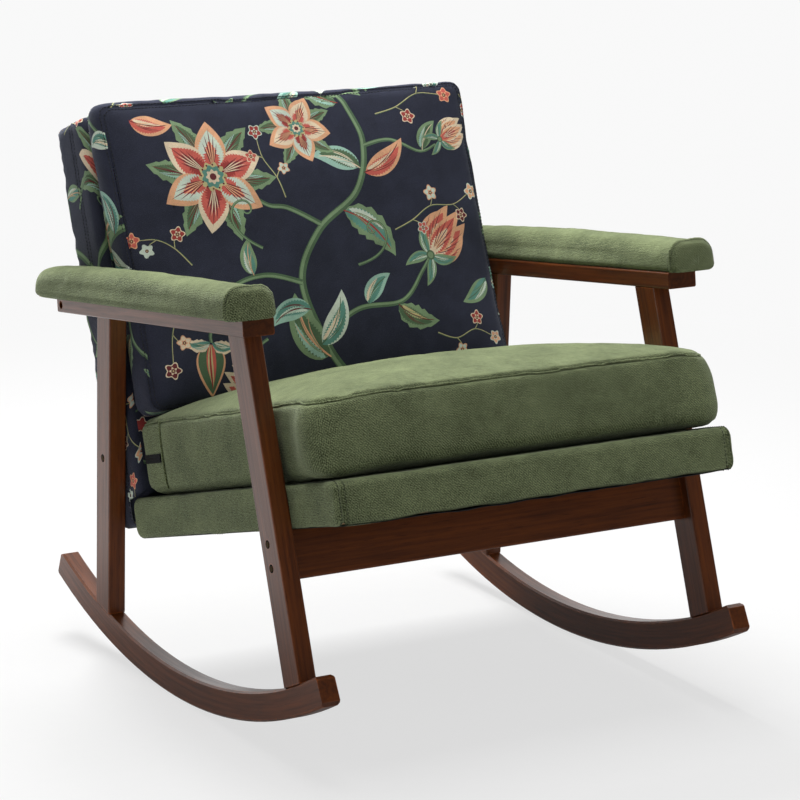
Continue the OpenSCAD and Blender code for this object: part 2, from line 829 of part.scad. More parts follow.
// Seat cushion. It widens over the shares of its half length that lie ahead of the legs.
cushion_a = cushion_w / 2;
cushion_edge = cushion_h / 6;
flare_shares = [0.62, 0.88];
function flared(p) =
    let (share = (-p[1] / cushion_b - flare_shares[0]) / (flare_shares[1] - flare_shares[0]),
         t = max(0, min(1, share)))
    [p[0] * (1 + cushion_flare / cushion_a * t * t * (3 - 2 * t)), p[1], p[2]];

module seat_cushion() {
    profile = cushion_profile(cushion_h, cushion_crown, cushion_edge, bulge, cushion_b);
    rings = cushion_rings(cushion_a, cushion_b, cushion_r, draw_in, profile);
    color(GREEN) seat_pose() translate([0, cushion_in + cushion_b, cushion_low])
        loft([for (ring = rings) [for (p = ring) flared(p)]]);
}

// Zip along the back of the boxing, halfway up, that turns the corners on to the sides
module seat_zip() {
    skin = bulge + soft_gap / 3;
    color(BLACK) seat_pose() translate([0, cushion_in + cushion_b, cushion_low + (cushion_h - zip_w) / 2])
        linear_extrude(zip_w) difference() {
            zip_outline(skin + zip_t);
            zip_outline(skin);
            translate([-cushion_w, -2 * cushion_l + cushion_b - zip_side]) square([2 * cushion_w, 2 * cushion_l]);
        }
}

module zip_outline(out) {
    polygon(outline(cushion_a + out, cushion_b + out, inner_radius(cushion_a, cushion_b, cushion_r, 0), draw_in));
}

// Back cushion, thinner at its top edge and flat where it lies on the seat cushion
pillow_a = pillow_w / 2;
pillow_b = pillow_l / 2;
pillow_edge = pillow_h / 5;

module back_cushion() {
    profile = cushion_profile(pillow_h, pillow_crown, pillow_edge, bulge, pillow_b);
    rings = cushion_rings(pillow_a, pillow_b, pillow_r, draw_in, profile);
    tapered = [for (ring = rings) [for (p = ring)
        [p[0], p[1], p[2] * (1 - pillow_taper_share * (p[1] + pillow_b) / (2 * pillow_b))]]];
    color(PRINT) difference() {
        back_pose() translate([0, -pillow_y, back_l + pillow_over - pillow_b]) rotate([90, 0, 0]) loft(tapered);
        seat_pose() translate([0, 0, pillow_under]) below();
        back_zip_block(soft_gap, zip_t + over);
    }
}

// Zip in the underside of the back cushion
module back_zip_block(gap, depth) {
    length = pillow_w - 4 * pillow_r;
    y = along(seat_at, seat_slope, side_point(back_at, back_lean, -pillow_y - pillow_h / 2, pillow_low));
    seat_pose() translate([-length / 2 - gap, y - zip_w / 2 - gap, pillow_under + zip_t + gap - depth])
        cube([length + 2 * gap, zip_w + 2 * gap, depth]);
}

module back_zip() {
    color(BLACK) back_zip_block(0, zip_t);
}

chair() runner(1);  // runner_left
chair() runner(-1);  // runner_right
chair() front_leg(1);  // front_leg_left
chair() front_leg(-1);  // front_leg_right
chair() rear_leg(1);  // rear_leg_left
chair() rear_leg(-1);  // rear_leg_right
chair() arm_rail(1);  // arm_rail_left
chair() arm_rail(-1);  // arm_rail_right
chair() arm_board(1);  // arm_board_left
chair() arm_board(-1);  // arm_board_right
chair() arm_pad(1);  // arm_pad_left
chair() arm_pad(-1);  // arm_pad_right
chair() arm_pad_screws();
chair() front_rail();
chair() front_rail_bolts();
chair() front_rail_nuts();
chair() leg_caps();
chair() foot_dowels();
chair() arm_dowels();
chair() base_front_rail();
chair() base_back_rail();
chair() base_side_rail(1);  // base_side_rail_left
chair() base_side_rail(-1);  // base_side_rail_right
chair() base_cross_rail();
chair() base_corner_blocks();
chair() base_webbing();
chair() seat_base();
chair() dust_cloth();
chair() base_screws();
chair() back_stile(1);  // back_stile_left
chair() back_stile(-1);  // back_stile_right
chair() back_top_rail();
chair() back_middle_rail();
chair() back_lower_rail();
chair() back_webbing();
chair() back_pad();
chair() back_panel();
chair() back_leg_bolts();
chair() back_arm_bolts();
chair() back_inserts();
chair() seat_cushion();
chair() seat_zip();
chair() back_cushion();
chair() back_zip();
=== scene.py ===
import math
from math import cos, pi, radians, sin

import bmesh
import bpy
import numpy as np
from mathutils import Matrix, Vector, noise
from mathutils.bvhtree import BVHTree
from mathutils.geometry import delaunay_2d_cdt
from mathutils.kdtree import KDTree


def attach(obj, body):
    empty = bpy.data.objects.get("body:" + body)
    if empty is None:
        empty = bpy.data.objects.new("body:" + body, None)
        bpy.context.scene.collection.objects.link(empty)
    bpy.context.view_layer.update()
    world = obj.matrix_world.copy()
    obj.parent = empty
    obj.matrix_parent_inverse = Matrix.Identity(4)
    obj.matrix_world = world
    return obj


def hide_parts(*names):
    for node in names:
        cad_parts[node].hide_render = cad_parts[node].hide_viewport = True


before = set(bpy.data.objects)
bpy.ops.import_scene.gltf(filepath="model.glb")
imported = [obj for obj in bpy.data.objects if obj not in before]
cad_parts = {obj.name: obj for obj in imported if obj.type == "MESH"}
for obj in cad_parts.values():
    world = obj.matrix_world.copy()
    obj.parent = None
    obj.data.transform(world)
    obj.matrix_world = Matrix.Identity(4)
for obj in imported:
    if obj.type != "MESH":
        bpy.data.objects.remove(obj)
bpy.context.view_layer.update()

# Frames of reference of the side view, as in the part: where each starts and how far it leans
SEAT = ((0, -0.38863, 0.377), -15.0)
BACK = ((0, 0.22137, 0.171), -19.5)
ARM = ((0, -0.24363, 0.528), -6.7)
ROCK_R = 0.907


def place(at, lean):
    return Matrix.Translation(at) @ Matrix.Rotation(radians(lean), 4, "X")


seat_place = place(*SEAT)
# In the back's and the pillow's own frames x is across, y is up the back and z is forward
back_place = place(*BACK) @ Matrix.Rotation(radians(90), 4, "X")
arm_place = place(*ARM)

# Camera at the photograph's angle
camera = bpy.data.objects.new("camera", bpy.data.cameras.new("camera"))
camera.location = (-2.0033, -3.55287, 1.30476)
camera.rotation_euler = (radians(90 - 12.978375), 0, radians(-29.723855))
camera.data.lens = 141.27
camera.data.sensor_width = 36
bpy.context.scene.collection.objects.link(camera)
bpy.context.scene.camera = camera
bpy.context.scene.view_settings.view_transform = "Standard"


class Nodes:
    """Short calls that build a tree of shader nodes."""

    def __init__(self, tree):
        self.tree = tree

    def add(self, kind, inputs, out=0, **settings):
        node = self.tree.nodes.new("ShaderNode" + kind)
        for key, value in settings.items():
            setattr(node, key, value)
        for key, value in inputs.items():
            self.put(node.inputs[key], value)
        return node.outputs[out]

    def put(self, socket, value):
        if isinstance(value, bpy.types.NodeSocket):
            self.tree.links.new(value, socket)
        elif socket.type == "RGBA" and len(value) == 3:
            socket.default_value = (*value, 1)
        else:
            socket.default_value = value

    def math(self, operation, *values, clamp=False):
        return self.add("Math", dict(enumerate(values)), operation=operation, use_clamp=clamp)

    def vector(self, operation, *values):
        out = 1 if operation in ("DOT_PRODUCT", "LENGTH") else 0
        return self.add("VectorMath", dict(enumerate(values)), out, operation=operation)

    def blend(self, factor, a, b, how="MIX"):
        return self.add("Mix", {0: factor, 6: a, 7: b}, 2, data_type="RGBA", blend_type=how)

    def choose(self, factor, a, b):
        return self.add("Mix", {0: factor, 4: a, 5: b}, 1, data_type="VECTOR")

    def noise(self, vector, scale, detail=2.0, roughness=0.5):
        return self.add("TexNoise", {"Vector": vector, "Scale": scale, "Detail": detail, "Roughness": roughness})

    def ramp(self, value, *stops):
        node = self.tree.nodes.new("ShaderNodeValToRGB")
        points = node.color_ramp.elements
        while len(points) < len(stops):
            points.new(0.5)
        for point, (at, colour) in zip(points, stops):
            point.position = at
            point.color = (*colour, 1)
        self.put(node.inputs[0], value)
        return node.outputs[0]

    def level(self, value, low, high, to_low=0.0, to_high=1.0):
        return self.add("MapRange", {0: value, 1: low, 2: high, 3: to_low, 4: to_high})

    def bump(self, height, distance, strength):
        return self.add("Bump", {"Height": height, "Distance": distance, "Strength": strength})


class Look(Nodes):
    """A material. Numbers that are the same all over it are constants on its shader's sockets."""

    def __init__(self, name, **constants):
        self.material = bpy.data.materials.new(name)
        self.material.use_nodes = True
        super().__init__(self.material.node_tree)
        self.shader = self.tree.nodes["Principled BSDF"]
        for socket, value in constants.items():
            self.shader.inputs[socket.replace("_", " ")].default_value = value

    def finish(self, **links):
        for socket, value in links.items():
            self.put(self.shader.inputs[socket.replace("_", " ")], value)
        return self.material


# Length of one rib of the green cloth and of one pair of threads of the printed one, in metres
TWILL, THREADS = 0.0037, 0.0016


def srgb(*values):
    """Linear colour of an sRGB colour given in 0 to 255."""
    return tuple((v / 255 / 12.92) if v <= 10 else ((v / 255 + 0.055) / 1.055) ** 2.4 for v in values)


def coordinates(look):
    return look.add("TexCoord", {}, 3)


def cloth_plane(look):
    """Flat coordinates on the side of the piece that each point faces, so that a weave lies in its cloth."""
    at = look.add("SeparateXYZ", {0: coordinates(look)})
    x, y, z = at.node.outputs
    facing = look.add("SeparateXYZ", {0: look.vector("ABSOLUTE", look.add("TexCoord", {}, 1))})
    nx, ny, nz = facing.node.outputs
    side = look.add("CombineXYZ", {0: y, 1: z})
    front = look.add("CombineXYZ", {0: x, 1: z})
    top = look.add("CombineXYZ", {0: x, 1: y})
    upright = look.choose(look.math("GREATER_THAN", nx, ny), front, side)
    most = look.math("GREATER_THAN", nz, look.math("MAXIMUM", nx, ny))
    return look.choose(most, upright, top)


def wood(name, dark, light, direction, arc=False, gloss=0.32, worn=0.5):
    """Stained wood. Its grain runs along the direction, or along the runner's arc."""
    look = Look(name, Coat_Weight=0.45, Coat_Roughness=0.18, Specular_IOR_Level=0.4)
    at = coordinates(look)
    if arc:
        x, y, z = look.add("SeparateXYZ", {0: at}).node.outputs
        rise = look.math("SUBTRACT", ROCK_R, z)
        radius = look.math("SQRT", look.math("ADD", look.math("MULTIPLY", y, y), look.math("MULTIPLY", rise, rise)))
        turn = look.math("MULTIPLY", look.math("ARCTAN2", y, rise), ROCK_R)
        at = look.add("CombineXYZ", {0: x, 1: radius, 2: turn})
    else:
        turned = Vector((0, 0, 1)).rotation_difference(Vector(direction)).inverted().to_euler()
        at = look.add("Mapping", {"Vector": at, "Rotation": turned})
    drift = look.add("Mapping", {"Vector": at, "Scale": (1, 1, 0.035)})
    streak = look.noise(drift, 240.0, 5.0, 0.62)
    broad = look.noise(look.add("Mapping", {"Vector": at, "Scale": (1, 1, 0.12)}), 22.0, 3.0)
    pores = look.level(look.noise(look.add("Mapping", {"Vector": at, "Scale": (1, 1, 0.06)}), 700.0, 2.0), 0.60, 0.72)
    tone = look.math("ADD", look.math("MULTIPLY", streak, 0.7), look.math("MULTIPLY", broad, 0.3))
    middle = tuple((a + b) / 2 for a, b in zip(dark, light))
    colour = look.ramp(tone, (0.26, dark), (0.5, middle), (0.74, light))
    colour = look.blend(look.math("MULTIPLY", pores, 0.45), colour, tuple(v * 0.35 for v in dark))
    # Ends show darker end grain, and edges are rubbed a little lighter
    turned_normal = look.add("TexCoord", {}, 1)
    end = look.level(look.math("ABSOLUTE", look.vector("DOT_PRODUCT", turned_normal, direction)), 0.8, 0.95)
    colour = look.blend(look.math("MULTIPLY", end, 0.35), colour, tuple(v * 0.55 for v in dark))
    soft = look.add("Bevel", {"Radius": 0.0035}, samples=6)
    sharp = look.add("NewGeometry", {}, 1)
    edge = look.level(look.vector("DOT_PRODUCT", soft, sharp), 0.985, 0.93)
    scuff = look.math("MULTIPLY", edge, look.level(look.noise(at, 60.0, 4.0, 0.7), 0.42, 0.62))
    colour = look.blend(look.math("MULTIPLY", scuff, worn), colour, tuple(min(1, v * 2.6 + 0.02) for v in light))
    rough = look.level(streak, 0.3, 0.7, gloss + 0.10, gloss - 0.04)
    height = look.math("SUBTRACT", look.math("MULTIPLY", streak, 0.5), look.math("MULTIPLY", pores, 0.6))
    return look.finish(Base_Color=colour, Roughness=rough, Normal=look.bump(height, 0.0004, 0.35))


def napped(name, dark, light):
    """Napped woven cloth with crossing diagonal ribs. Its nap hides them on the sides that face up."""
    look = Look(name, Specular_IOR_Level=0.25, Sheen_Weight=0.35, Sheen_Roughness=0.38, Sheen_Tint=(0.72, 0.8, 0.6, 1))
    at = coordinates(look)
    flat = cloth_plane(look)
    u, v, _ = look.add("SeparateXYZ", {0: flat}).node.outputs
    turn = 2 * pi / TWILL
    drift = look.math("MULTIPLY", look.noise(flat, 60.0, 2.0), 0.004)
    u, v = look.math("ADD", u, drift), look.math("SUBTRACT", v, drift)
    ribs = look.math("SINE", look.math("MULTIPLY", look.math("ADD", u, v), turn))
    cross = look.math("SINE", look.math("MULTIPLY", look.math("SUBTRACT", u, v), turn))
    weave = look.math("ADD", look.math("MULTIPLY", ribs, cross), look.math("MULTIPLY", ribs, 0.5))
    weave = look.math("MULTIPLY", weave, 0.62)
    speck = look.level(look.noise(flat, 620.0, 2.0, 0.7), 0.32, 0.68, -1.0, 1.0)
    up = look.add("SeparateXYZ", {0: look.add("TexCoord", {}, 1)}, 2)
    bare = look.level(up, 0.35, 0.85, 1.0, 0.28)
    weave = look.math("MULTIPLY", look.math("ADD", weave, look.math("MULTIPLY", speck, 0.75)), bare)
    patch = look.level(look.noise(at, 17.0, 4.0, 0.62), 0.32, 0.68, -1.0, 1.0)
    lint = look.level(look.noise(at, 110.0, 3.0, 0.7), 0.3, 0.7, -1.0, 1.0)
    shade = look.math("ADD", look.math("MULTIPLY", weave, 0.52), 0.38)
    shade = look.math("ADD", shade, look.math("MULTIPLY", patch, 0.10))
    shade = look.math("ADD", shade, look.math("MULTIPLY", lint, 0.08), clamp=True)
    colour = look.blend(shade, dark, light)
    rough = look.level(weave, -1, 1, 0.95, 0.78)
    height = look.math("ADD", look.math("MULTIPLY", weave, 0.5), look.math("MULTIPLY", lint, 0.35))
    return look.finish(Base_Color=colour, Roughness=rough, Normal=look.bump(height, 0.0008, 0.6))


def printed(name):
    """Plain woven cloth. Its print is in the colours of the mesh."""
    look = Look(name, Specular_IOR_Level=0.25, Sheen_Weight=0.18, Sheen_Roughness=0.4, Sheen_Tint=(0.7, 0.75, 0.85, 1))
    at = coordinates(look)
    flat = cloth_plane(look)
    u, v, _ = look.add("SeparateXYZ", {0: flat}).node.outputs
    ink = look.add("VertexColor", {}, layer_name="print")
    warp, weft = (look.math("SINE", look.math("MULTIPLY", along, 2 * pi / THREADS)) for along in (u, v))
    speck = look.noise(flat, 800.0, 2.0, 0.7)
    weave = look.math("MULTIPLY", look.math("MULTIPLY", warp, weft), 0.35)
    weave = look.math("ADD", weave, look.level(speck, 0.3, 0.7, -0.5, 0.5))
    patch = look.level(look.noise(at, 14.0, 3.0, 0.6), 0.3, 0.7, 0.86, 1.12)
    tone = look.math("MULTIPLY", look.level(weave, -0.8, 0.8, 0.78, 1.2), patch)
    colour = look.blend(1.0, ink, look.add("CombineXYZ", {0: tone, 1: tone, 2: tone}), "MULTIPLY")
    faded = look.blend(look.level(speck, 0.55, 0.8, 0.0, 0.10), colour, srgb(150, 150, 150))
    rough = look.level(weave, -1, 1, 0.92, 0.72)
    return look.finish(Base_Color=faded, Roughness=rough, Normal=look.bump(weave, 0.0005, 0.4))


def plain(name, dark, light, rough, grain, depth, stretch=(1, 1, 1), **constants):
    """Plain stuff with a fine grain: metal, thread, webbing, thin cloth."""
    look = Look(name, **constants)
    at = look.add("Mapping", {"Vector": coordinates(look), "Scale": stretch})
    fine = look.noise(at, grain, 3.0, 0.6)
    wide = look.noise(at, grain / 12, 2.0)
    tone = look.level(look.math("ADD", look.math("MULTIPLY", fine, 0.6), look.math("MULTIPLY", wide, 0.4)), 0.35, 0.65)
    return look.finish(Base_Color=look.blend(tone, dark, light), Roughness=look.level(fine, 0.3, 0.7, *rough),
                       Normal=look.bump(fine, depth, 0.5))


# Each wood has its grain along its pieces
ACROSS, LENGTHWISE = (1, 0, 0), (0, 1, 0)
leg_tilt, rear_tilt, arm_tilt = radians(18.8), radians(-3.3), radians(-6.7)
woods = {key: wood("walnut_" + key, srgb(54, 24, 8), srgb(128, 66, 24), direction, arc=key == "runner")
         for key, direction in (("runner", LENGTHWISE),
                                ("front_leg", (0, sin(leg_tilt), cos(leg_tilt))),
                                ("rear_leg", (0, sin(rear_tilt), cos(rear_tilt))),
                                ("arm_rail", (0, cos(arm_tilt), sin(arm_tilt))),
                                ("front_rail", ACROSS))}
pines = {key: wood("pine_" + key, srgb(190, 150, 104), srgb(222, 188, 142), direction, gloss=0.6, worn=0.1)
         for key, direction in (("across", ACROSS), ("along", (0, 0.966, -0.259)), ("up", (0, 0.334, 0.943)))}
metal = {"stretch": (1, 1, 0.2), "depth": 0.0001, "Metallic": 1.0}
steel = plain("steel", srgb(150, 152, 155), srgb(196, 198, 200), (0.25, 0.42), 900.0, **metal)
old_steel = plain("dark_steel", srgb(70, 66, 62), srgb(112, 106, 100), (0.35, 0.5), 900.0, **metal)
jute = plain("jute", srgb(132, 110, 76), srgb(186, 162, 118), (0.8, 0.95), 700.0, depth=0.0006)
black_cloth = plain("black_cloth", srgb(22, 23, 27), srgb(44, 46, 52), (0.75, 0.95), 900.0, depth=0.0005)
black_tape = plain("zip_tape", srgb(9, 9, 11), srgb(26, 27, 30), (0.6, 0.8), 900.0, depth=0.0003, Specular_IOR_Level=0.2)
green_thread = plain("green_thread", srgb(30, 36, 22), srgb(60, 68, 46), (0.6, 0.8), 2500.0, depth=0.0001)
dark_thread = plain("dark_thread", srgb(5, 5, 8), srgb(16, 17, 22), (0.55, 0.75), 2500.0, depth=0.0001)
green = napped("green_cloth", srgb(34, 42, 25), srgb(156, 168, 122))
print_cloth = printed("print_cloth")


def dress(look, *names):
    for name in names:
        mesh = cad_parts[name].data
        for slot in range(len(mesh.materials)):
            mesh.materials[slot] = look


for key in ("runner", "front_leg", "rear_leg", "arm_rail"):
    dress(woods[key], key + "_left", key + "_right")
dress(woods["front_rail"], "front_rail")
dress(pines["across"], "base_front_rail", "base_back_rail", "base_cross_rail", "back_top_rail", "back_middle_rail",
      "back_lower_rail", "foot_dowels", "arm_dowels", "base_corner_blocks")
dress(pines["along"], "base_side_rail_left", "base_side_rail_right", "arm_board_left", "arm_board_right")
dress(pines["up"], "back_stile_left", "back_stile_right")
dress(steel, "arm_pad_screws", "front_rail_nuts", "base_screws", "back_inserts", "front_rail_bolts")
dress(old_steel, "back_leg_bolts", "back_arm_bolts")
dress(jute, "base_webbing", "back_webbing")
dress(black_cloth, "dust_cloth")
dress(black_tape, "seat_zip", "back_zip")


# The caps over the bolts lie deep in their holes. Painted shade darkens them round the rim, and they are olive brown in
# the middle
spots = np.array([v.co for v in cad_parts["leg_caps"].data.vertices])[:, 1:]
rear_cap, front_caps = spots[spots[:, 0] > 0], spots[spots[:, 0] < 0]
level = (front_caps[:, 1].min() + front_caps[:, 1].max()) / 2
cap_look = Look("cap", Specular_IOR_Level=0.08)
spot = cap_look.add("Mapping", {"Vector": coordinates(cap_look), "Scale": (0, 1, 1)})
reach = 1.0
for cap in (rear_cap, front_caps[front_caps[:, 1] > level], front_caps[front_caps[:, 1] < level]):
    away = cap_look.vector("SUBTRACT", spot, (0, *map(float, cap.mean(0))))
    reach = cap_look.math("MINIMUM", reach, cap_look.vector("LENGTH", away))
cap_radius = float(np.ptp(rear_cap[:, 1])) / 2
# Mask of the cap's rim: it blends in near black as painted shade of the hole, and it also dips the bump
painted_shade_rim = cap_look.level(reach, 0.52 * cap_radius, 0.86 * cap_radius)
fibre = cap_look.noise(spot, 900.0, 3.0, 0.6)
middle = cap_look.blend(cap_look.level(fibre, 0.3, 0.7), srgb(44, 32, 16), srgb(86, 68, 38))
height = cap_look.math("SUBTRACT", cap_look.math("MULTIPLY", fibre, 0.3), painted_shade_rim)
cap_look.finish(Base_Color=cap_look.blend(painted_shade_rim, middle, srgb(10, 6, 4)),
                Roughness=cap_look.level(fibre, 0.3, 0.7, 0.6, 0.8), Normal=cap_look.bump(height, 0.0012, 0.8))
dress(cap_look.material, "leg_caps")


def new_object(name, points, faces, look, at=None, smooth=True):
    mesh = bpy.data.meshes.new(name)
    mesh.from_pydata([tuple(map(float, p)) for p in points], [], [tuple(map(int, f)) for f in faces])
    mesh.update()
    mesh.shade_smooth() if smooth else mesh.shade_flat()
    thing = bpy.data.objects.new(name, mesh)
    if look:
        mesh.materials.append(look)
    if at:
        thing.matrix_world = at
    bpy.context.scene.collection.objects.link(thing)
    return thing


def piece(thing, body, replaced=()):
    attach(thing, body)
    if replaced:
        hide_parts(*replaced)
    return thing


def rounded_outline(a, b, radii, pull=0.0, side=60, corner=10):
    """Closed outline of a cushion, anticlockwise from the lower right corner, with sides that pull in. There is one radius
    for all corners, or one for each from the upper right one."""
    points = []
    radii = np.broadcast_to(radii, 4)
    for quarter in range(4):
        half, along = (a, b) if quarter % 2 == 0 else (b, a)
        before, r = radii[quarter - 1], radii[quarter]
        part = []
        for j in range(side):
            t = j / side
            part.append((half - pull * 4 * t * (1 - t), t * (along - r) - (1 - t) * (along - before)))
        for j in range(corner):
            turn = pi / 2 * j / corner
            part.append((half - r + r * cos(turn), along - r + r * sin(turn)))
        c, s = ((1, 0), (0, 1), (-1, 0), (0, -1))[quarter]
        points += [(x * c - y * s, x * s + y * c) for x, y in part]
    return np.array(points)


def inner_radius(a, b, r, inset):
    return np.minimum(np.array(r) + 0.5 * max(inset, 0), 0.9 * min(a - inset, b - inset))


class Boxed:
    """Shape of a boxed cushion in its own frame: x, y across it and z through it.

    Half its sides are a and b, its boxing is h high and the crown rises over that. Its corners have the radius r, its lower
    edge the radius edge. The boxing swells out, and the sides pull in between the corners."""

    def __init__(self, a, b, h, crown, r, edge, swell=0.0025, pull=0.0033):
        self.a, self.b, self.h, self.crown, self.r = a, b, h, crown, r
        self.edge, self.swell, self.pull = edge, swell, pull

    def rise(self, inset):
        share = min(max(inset, 0) / min(self.a, self.b), 1)
        return self.crown * (1 - (1 - share) ** 3)

    def ring(self, inset, z, side=60, corner=10):
        fade = max(0, 1 - inset / (min(self.a, self.b) / 2))
        flat = rounded_outline(self.a - inset, self.b - inset, inner_radius(self.a, self.b, self.r, inset),
                               self.pull * fade, side, corner)
        return np.column_stack([flat, np.full(len(flat), z)])

    def profile(self, fine=1.0):
        """(inset, z) from the middle of the underside, over the side, to the middle of the crown."""
        low = min(self.a, self.b)
        steps = [(s * low, 0.0) for s in (0.96, 0.8, 0.62, 0.46, 0.32, 0.22, 0.14)]
        steps += [(self.edge * (1 - sin(t)), self.edge * (1 - cos(t))) for t in np.linspace(0, pi / 2, 6)]
        count = int(12 * fine)
        for share in (k / count for k in range(1, count)):
            steps.append((-self.swell * sin(pi * share) ** 0.8, self.edge + (self.h - self.edge) * share))
        near = [0.0015, 0.003, 0.0045, 0.0065]
        steps = [s for s in steps if s[1] < self.h - 0.008 or s[0] > self.edge]
        steps += [(0.0, self.h - d) for d in reversed(near)] + [(0.0, self.h)]
        far = near + [0.009, 0.012, 0.016, 0.021, 0.028, 0.037, 0.048]
        far += [share * low for share in np.linspace(0.2, 0.96, int(16 * fine))]
        return steps + [(d, self.h + self.rise(d)) for d in far]


def loft(rings):
    """Points and faces of a closed body through rings of equal length."""
    count = len(rings[0])
    points = np.concatenate(rings)
    faces = []
    for k in range(len(rings) - 1):
        low, high = k * count, (k + 1) * count
        faces += [(low + j, low + (j + 1) % count, high + (j + 1) % count, high + j) for j in range(count)]
    faces.append(tuple(reversed(range(count))))
    faces.append(tuple(range((len(rings) - 1) * count, len(rings) * count)))
    return points, faces


def skin_of(mesh):
    """A mesh's faces as a tree to find near points in."""
    return BVHTree.FromPolygons([v.co for v in mesh.vertices], [tuple(p.vertices) for p in mesh.polygons])


class Surface:
    """A simulated skin, onto which the final mesh is laid."""

    def __init__(self, mesh):
        self.top = max(v.co.z for v in mesh.vertices)
        self.tree = skin_of(mesh)

    def lay(self, points):
        return np.array([self.tree.find_nearest(Vector(p))[0] for p in points])

    def crowned(self, points, h, crown):
        """Points laid on the skin, whose part over the height h is scaled so that its top reaches the crown."""
        out = self.lay(points)
        z = out[:, 2]
        out[:, 2] = np.where(z > h, h + (z - h) / (self.top - h) * (crown - h), z)
        return out


def run_modifier(thing, kind, **settings):
    modifier = thing.modifiers.new(kind.lower(), kind)
    for key, value in settings.items():
        setattr(modifier, key, value)
    bpy.context.view_layer.update()
    graph = bpy.context.evaluated_depsgraph_get()
    mesh = bpy.data.meshes.new_from_object(thing.evaluated_get(graph))
    thing.modifiers.clear()
    old = thing.data
    thing.data = mesh
    bpy.data.meshes.remove(old)


def simulate(name, points, faces, seams, voxel, cap, pressure=4.0, frames=14):
    """Swells a closed mesh as cloth under pressure, held at its seams. No point moves further than the cap."""
    thing = new_object(name, points, faces, None)
    run_modifier(thing, "REMESH", mode="VOXEL", voxel_size=voxel)
    run_modifier(thing, "SMOOTH", factor=0.5, iterations=2)
    start = np.array([v.co for v in thing.data.vertices])
    away = nearest_on(np.vstack(seams), start)[0]
    held = thing.vertex_groups.new(name="held")
    for k, weight in enumerate(np.clip(1.3 - away / 0.012, 0, 1)):
        held.add([k], weight, "REPLACE")
    modifier = thing.modifiers.new("cloth", "CLOTH")
    settings = modifier.settings
    settings.quality = 5
    settings.mass = 0.3
    settings.tension_stiffness = settings.compression_stiffness = 12
    settings.shear_stiffness = 6
    settings.bending_stiffness = 0.6
    settings.use_pressure = True
    settings.uniform_pressure_force = pressure
    settings.effector_weights.gravity = 0
    settings.vertex_group_mass = "held"
    settings.pin_stiffness = 2.0
    modifier.collision_settings.use_collision = False
    modifier.point_cache.frame_end = frames
    scene = bpy.context.scene
    for number in range(1, frames + 1):
        scene.frame_set(number)
    graph = bpy.context.evaluated_depsgraph_get()
    swollen = bpy.data.meshes.new_from_object(thing.evaluated_get(graph))
    thing.modifiers.clear()
    scene.frame_set(1)
    moved = np.array([v.co for v in swollen.vertices]) - start
    length = np.linalg.norm(moved, axis=1, keepdims=True)
    moved *= np.minimum(1, cap / np.maximum(length, 1e-9))
    thing.data.vertices.foreach_set("co", (start + moved).ravel())
    thing.data.update()
    bpy.data.meshes.remove(swollen)
    run_modifier(thing, "SUBSURF", levels=1, render_levels=1)
    skin = Surface(thing.data)
    bpy.data.objects.remove(thing)
    return skin


def swollen_cushion(name, small, cap):
    """The skin of a boxed cushion, which swells between its two seams from a box that is a little small."""
    def ring(inset, z):
        return small.ring(inset, z, 40, 8)

    points, faces = loft([ring(inset, z) for inset, z in small.profile()])
    seams = [dense(ring(inset, z), 0.004, True) for inset, z in ((0.002, small.h - 0.002), (0.004, 0.004))]
    return simulate(name, points, faces, seams, 0.009, cap)


def normals_of(points, faces):
    mesh = bpy.data.meshes.new("scratch")
    mesh.from_pydata([tuple(p) for p in points], [], [tuple(map(int, f)) for f in faces])
    mesh.update()
    out = np.array([v.normal for v in mesh.vertices])
    bpy.data.meshes.remove(mesh)
    return out


def nearest_on(line, points):
    """Distance from each point to the nearest point of a dense line, and how far along it that lies."""
    tree = KDTree(len(line))
    for k, p in enumerate(line):
        tree.insert(p, k)
    tree.balance()
    found = [tree.find(p) for p in points]
    steps = np.linalg.norm(np.diff(line, axis=0), axis=1)
    run = np.concatenate([[0], np.cumsum(steps)])
    return np.array([f[2] for f in found]), run[[f[1] for f in found]]


def dense(line, step=0.002, closed=False):
    line = np.array(line, float)
    if closed:
        line = np.vstack([line, line[:1]])
    lengths = np.linalg.norm(np.diff(line, axis=0), axis=1)
    run = np.concatenate([[0], np.cumsum(lengths)])
    at = np.linspace(0, run[-1], max(2, int(run[-1] / step)))
    return np.column_stack([np.interp(at, run, line[:, k]) for k in range(3)])


def sewn(points, normals, seams, depth, width, pucker, reach, seed):
    """Points drawn in along seams, with small puckers beside them."""
    out = points.copy()
    for number, line in enumerate(seams):
        away, run = nearest_on(line, points)
        near = away < reach * 3
        draw = -depth * np.exp(-(away / width) ** 2)
        ripple = np.array([noise.noise(Vector((s * 55.0, 7.3 * number + seed, 0))) if n else 0
                           for s, n in zip(run, near)])
        swell = pucker * ripple * np.exp(-away / reach) * (1 - np.exp(-(away / width) ** 2))
        out += normals * (draw + swell)[:, None]
    return out


def wrinkled(points, normals, amount, scale, seed, stretch=(1, 1, 1)):
    """Slow unevenness of a stuffed piece."""
    spots = points * np.array(stretch) * scale + np.array([seed, 0, 0])
    lift = np.array([noise.fractal(Vector(p), 0.6, 2.0, 3) for p in spots])
    return points + normals * (amount * lift)[:, None]


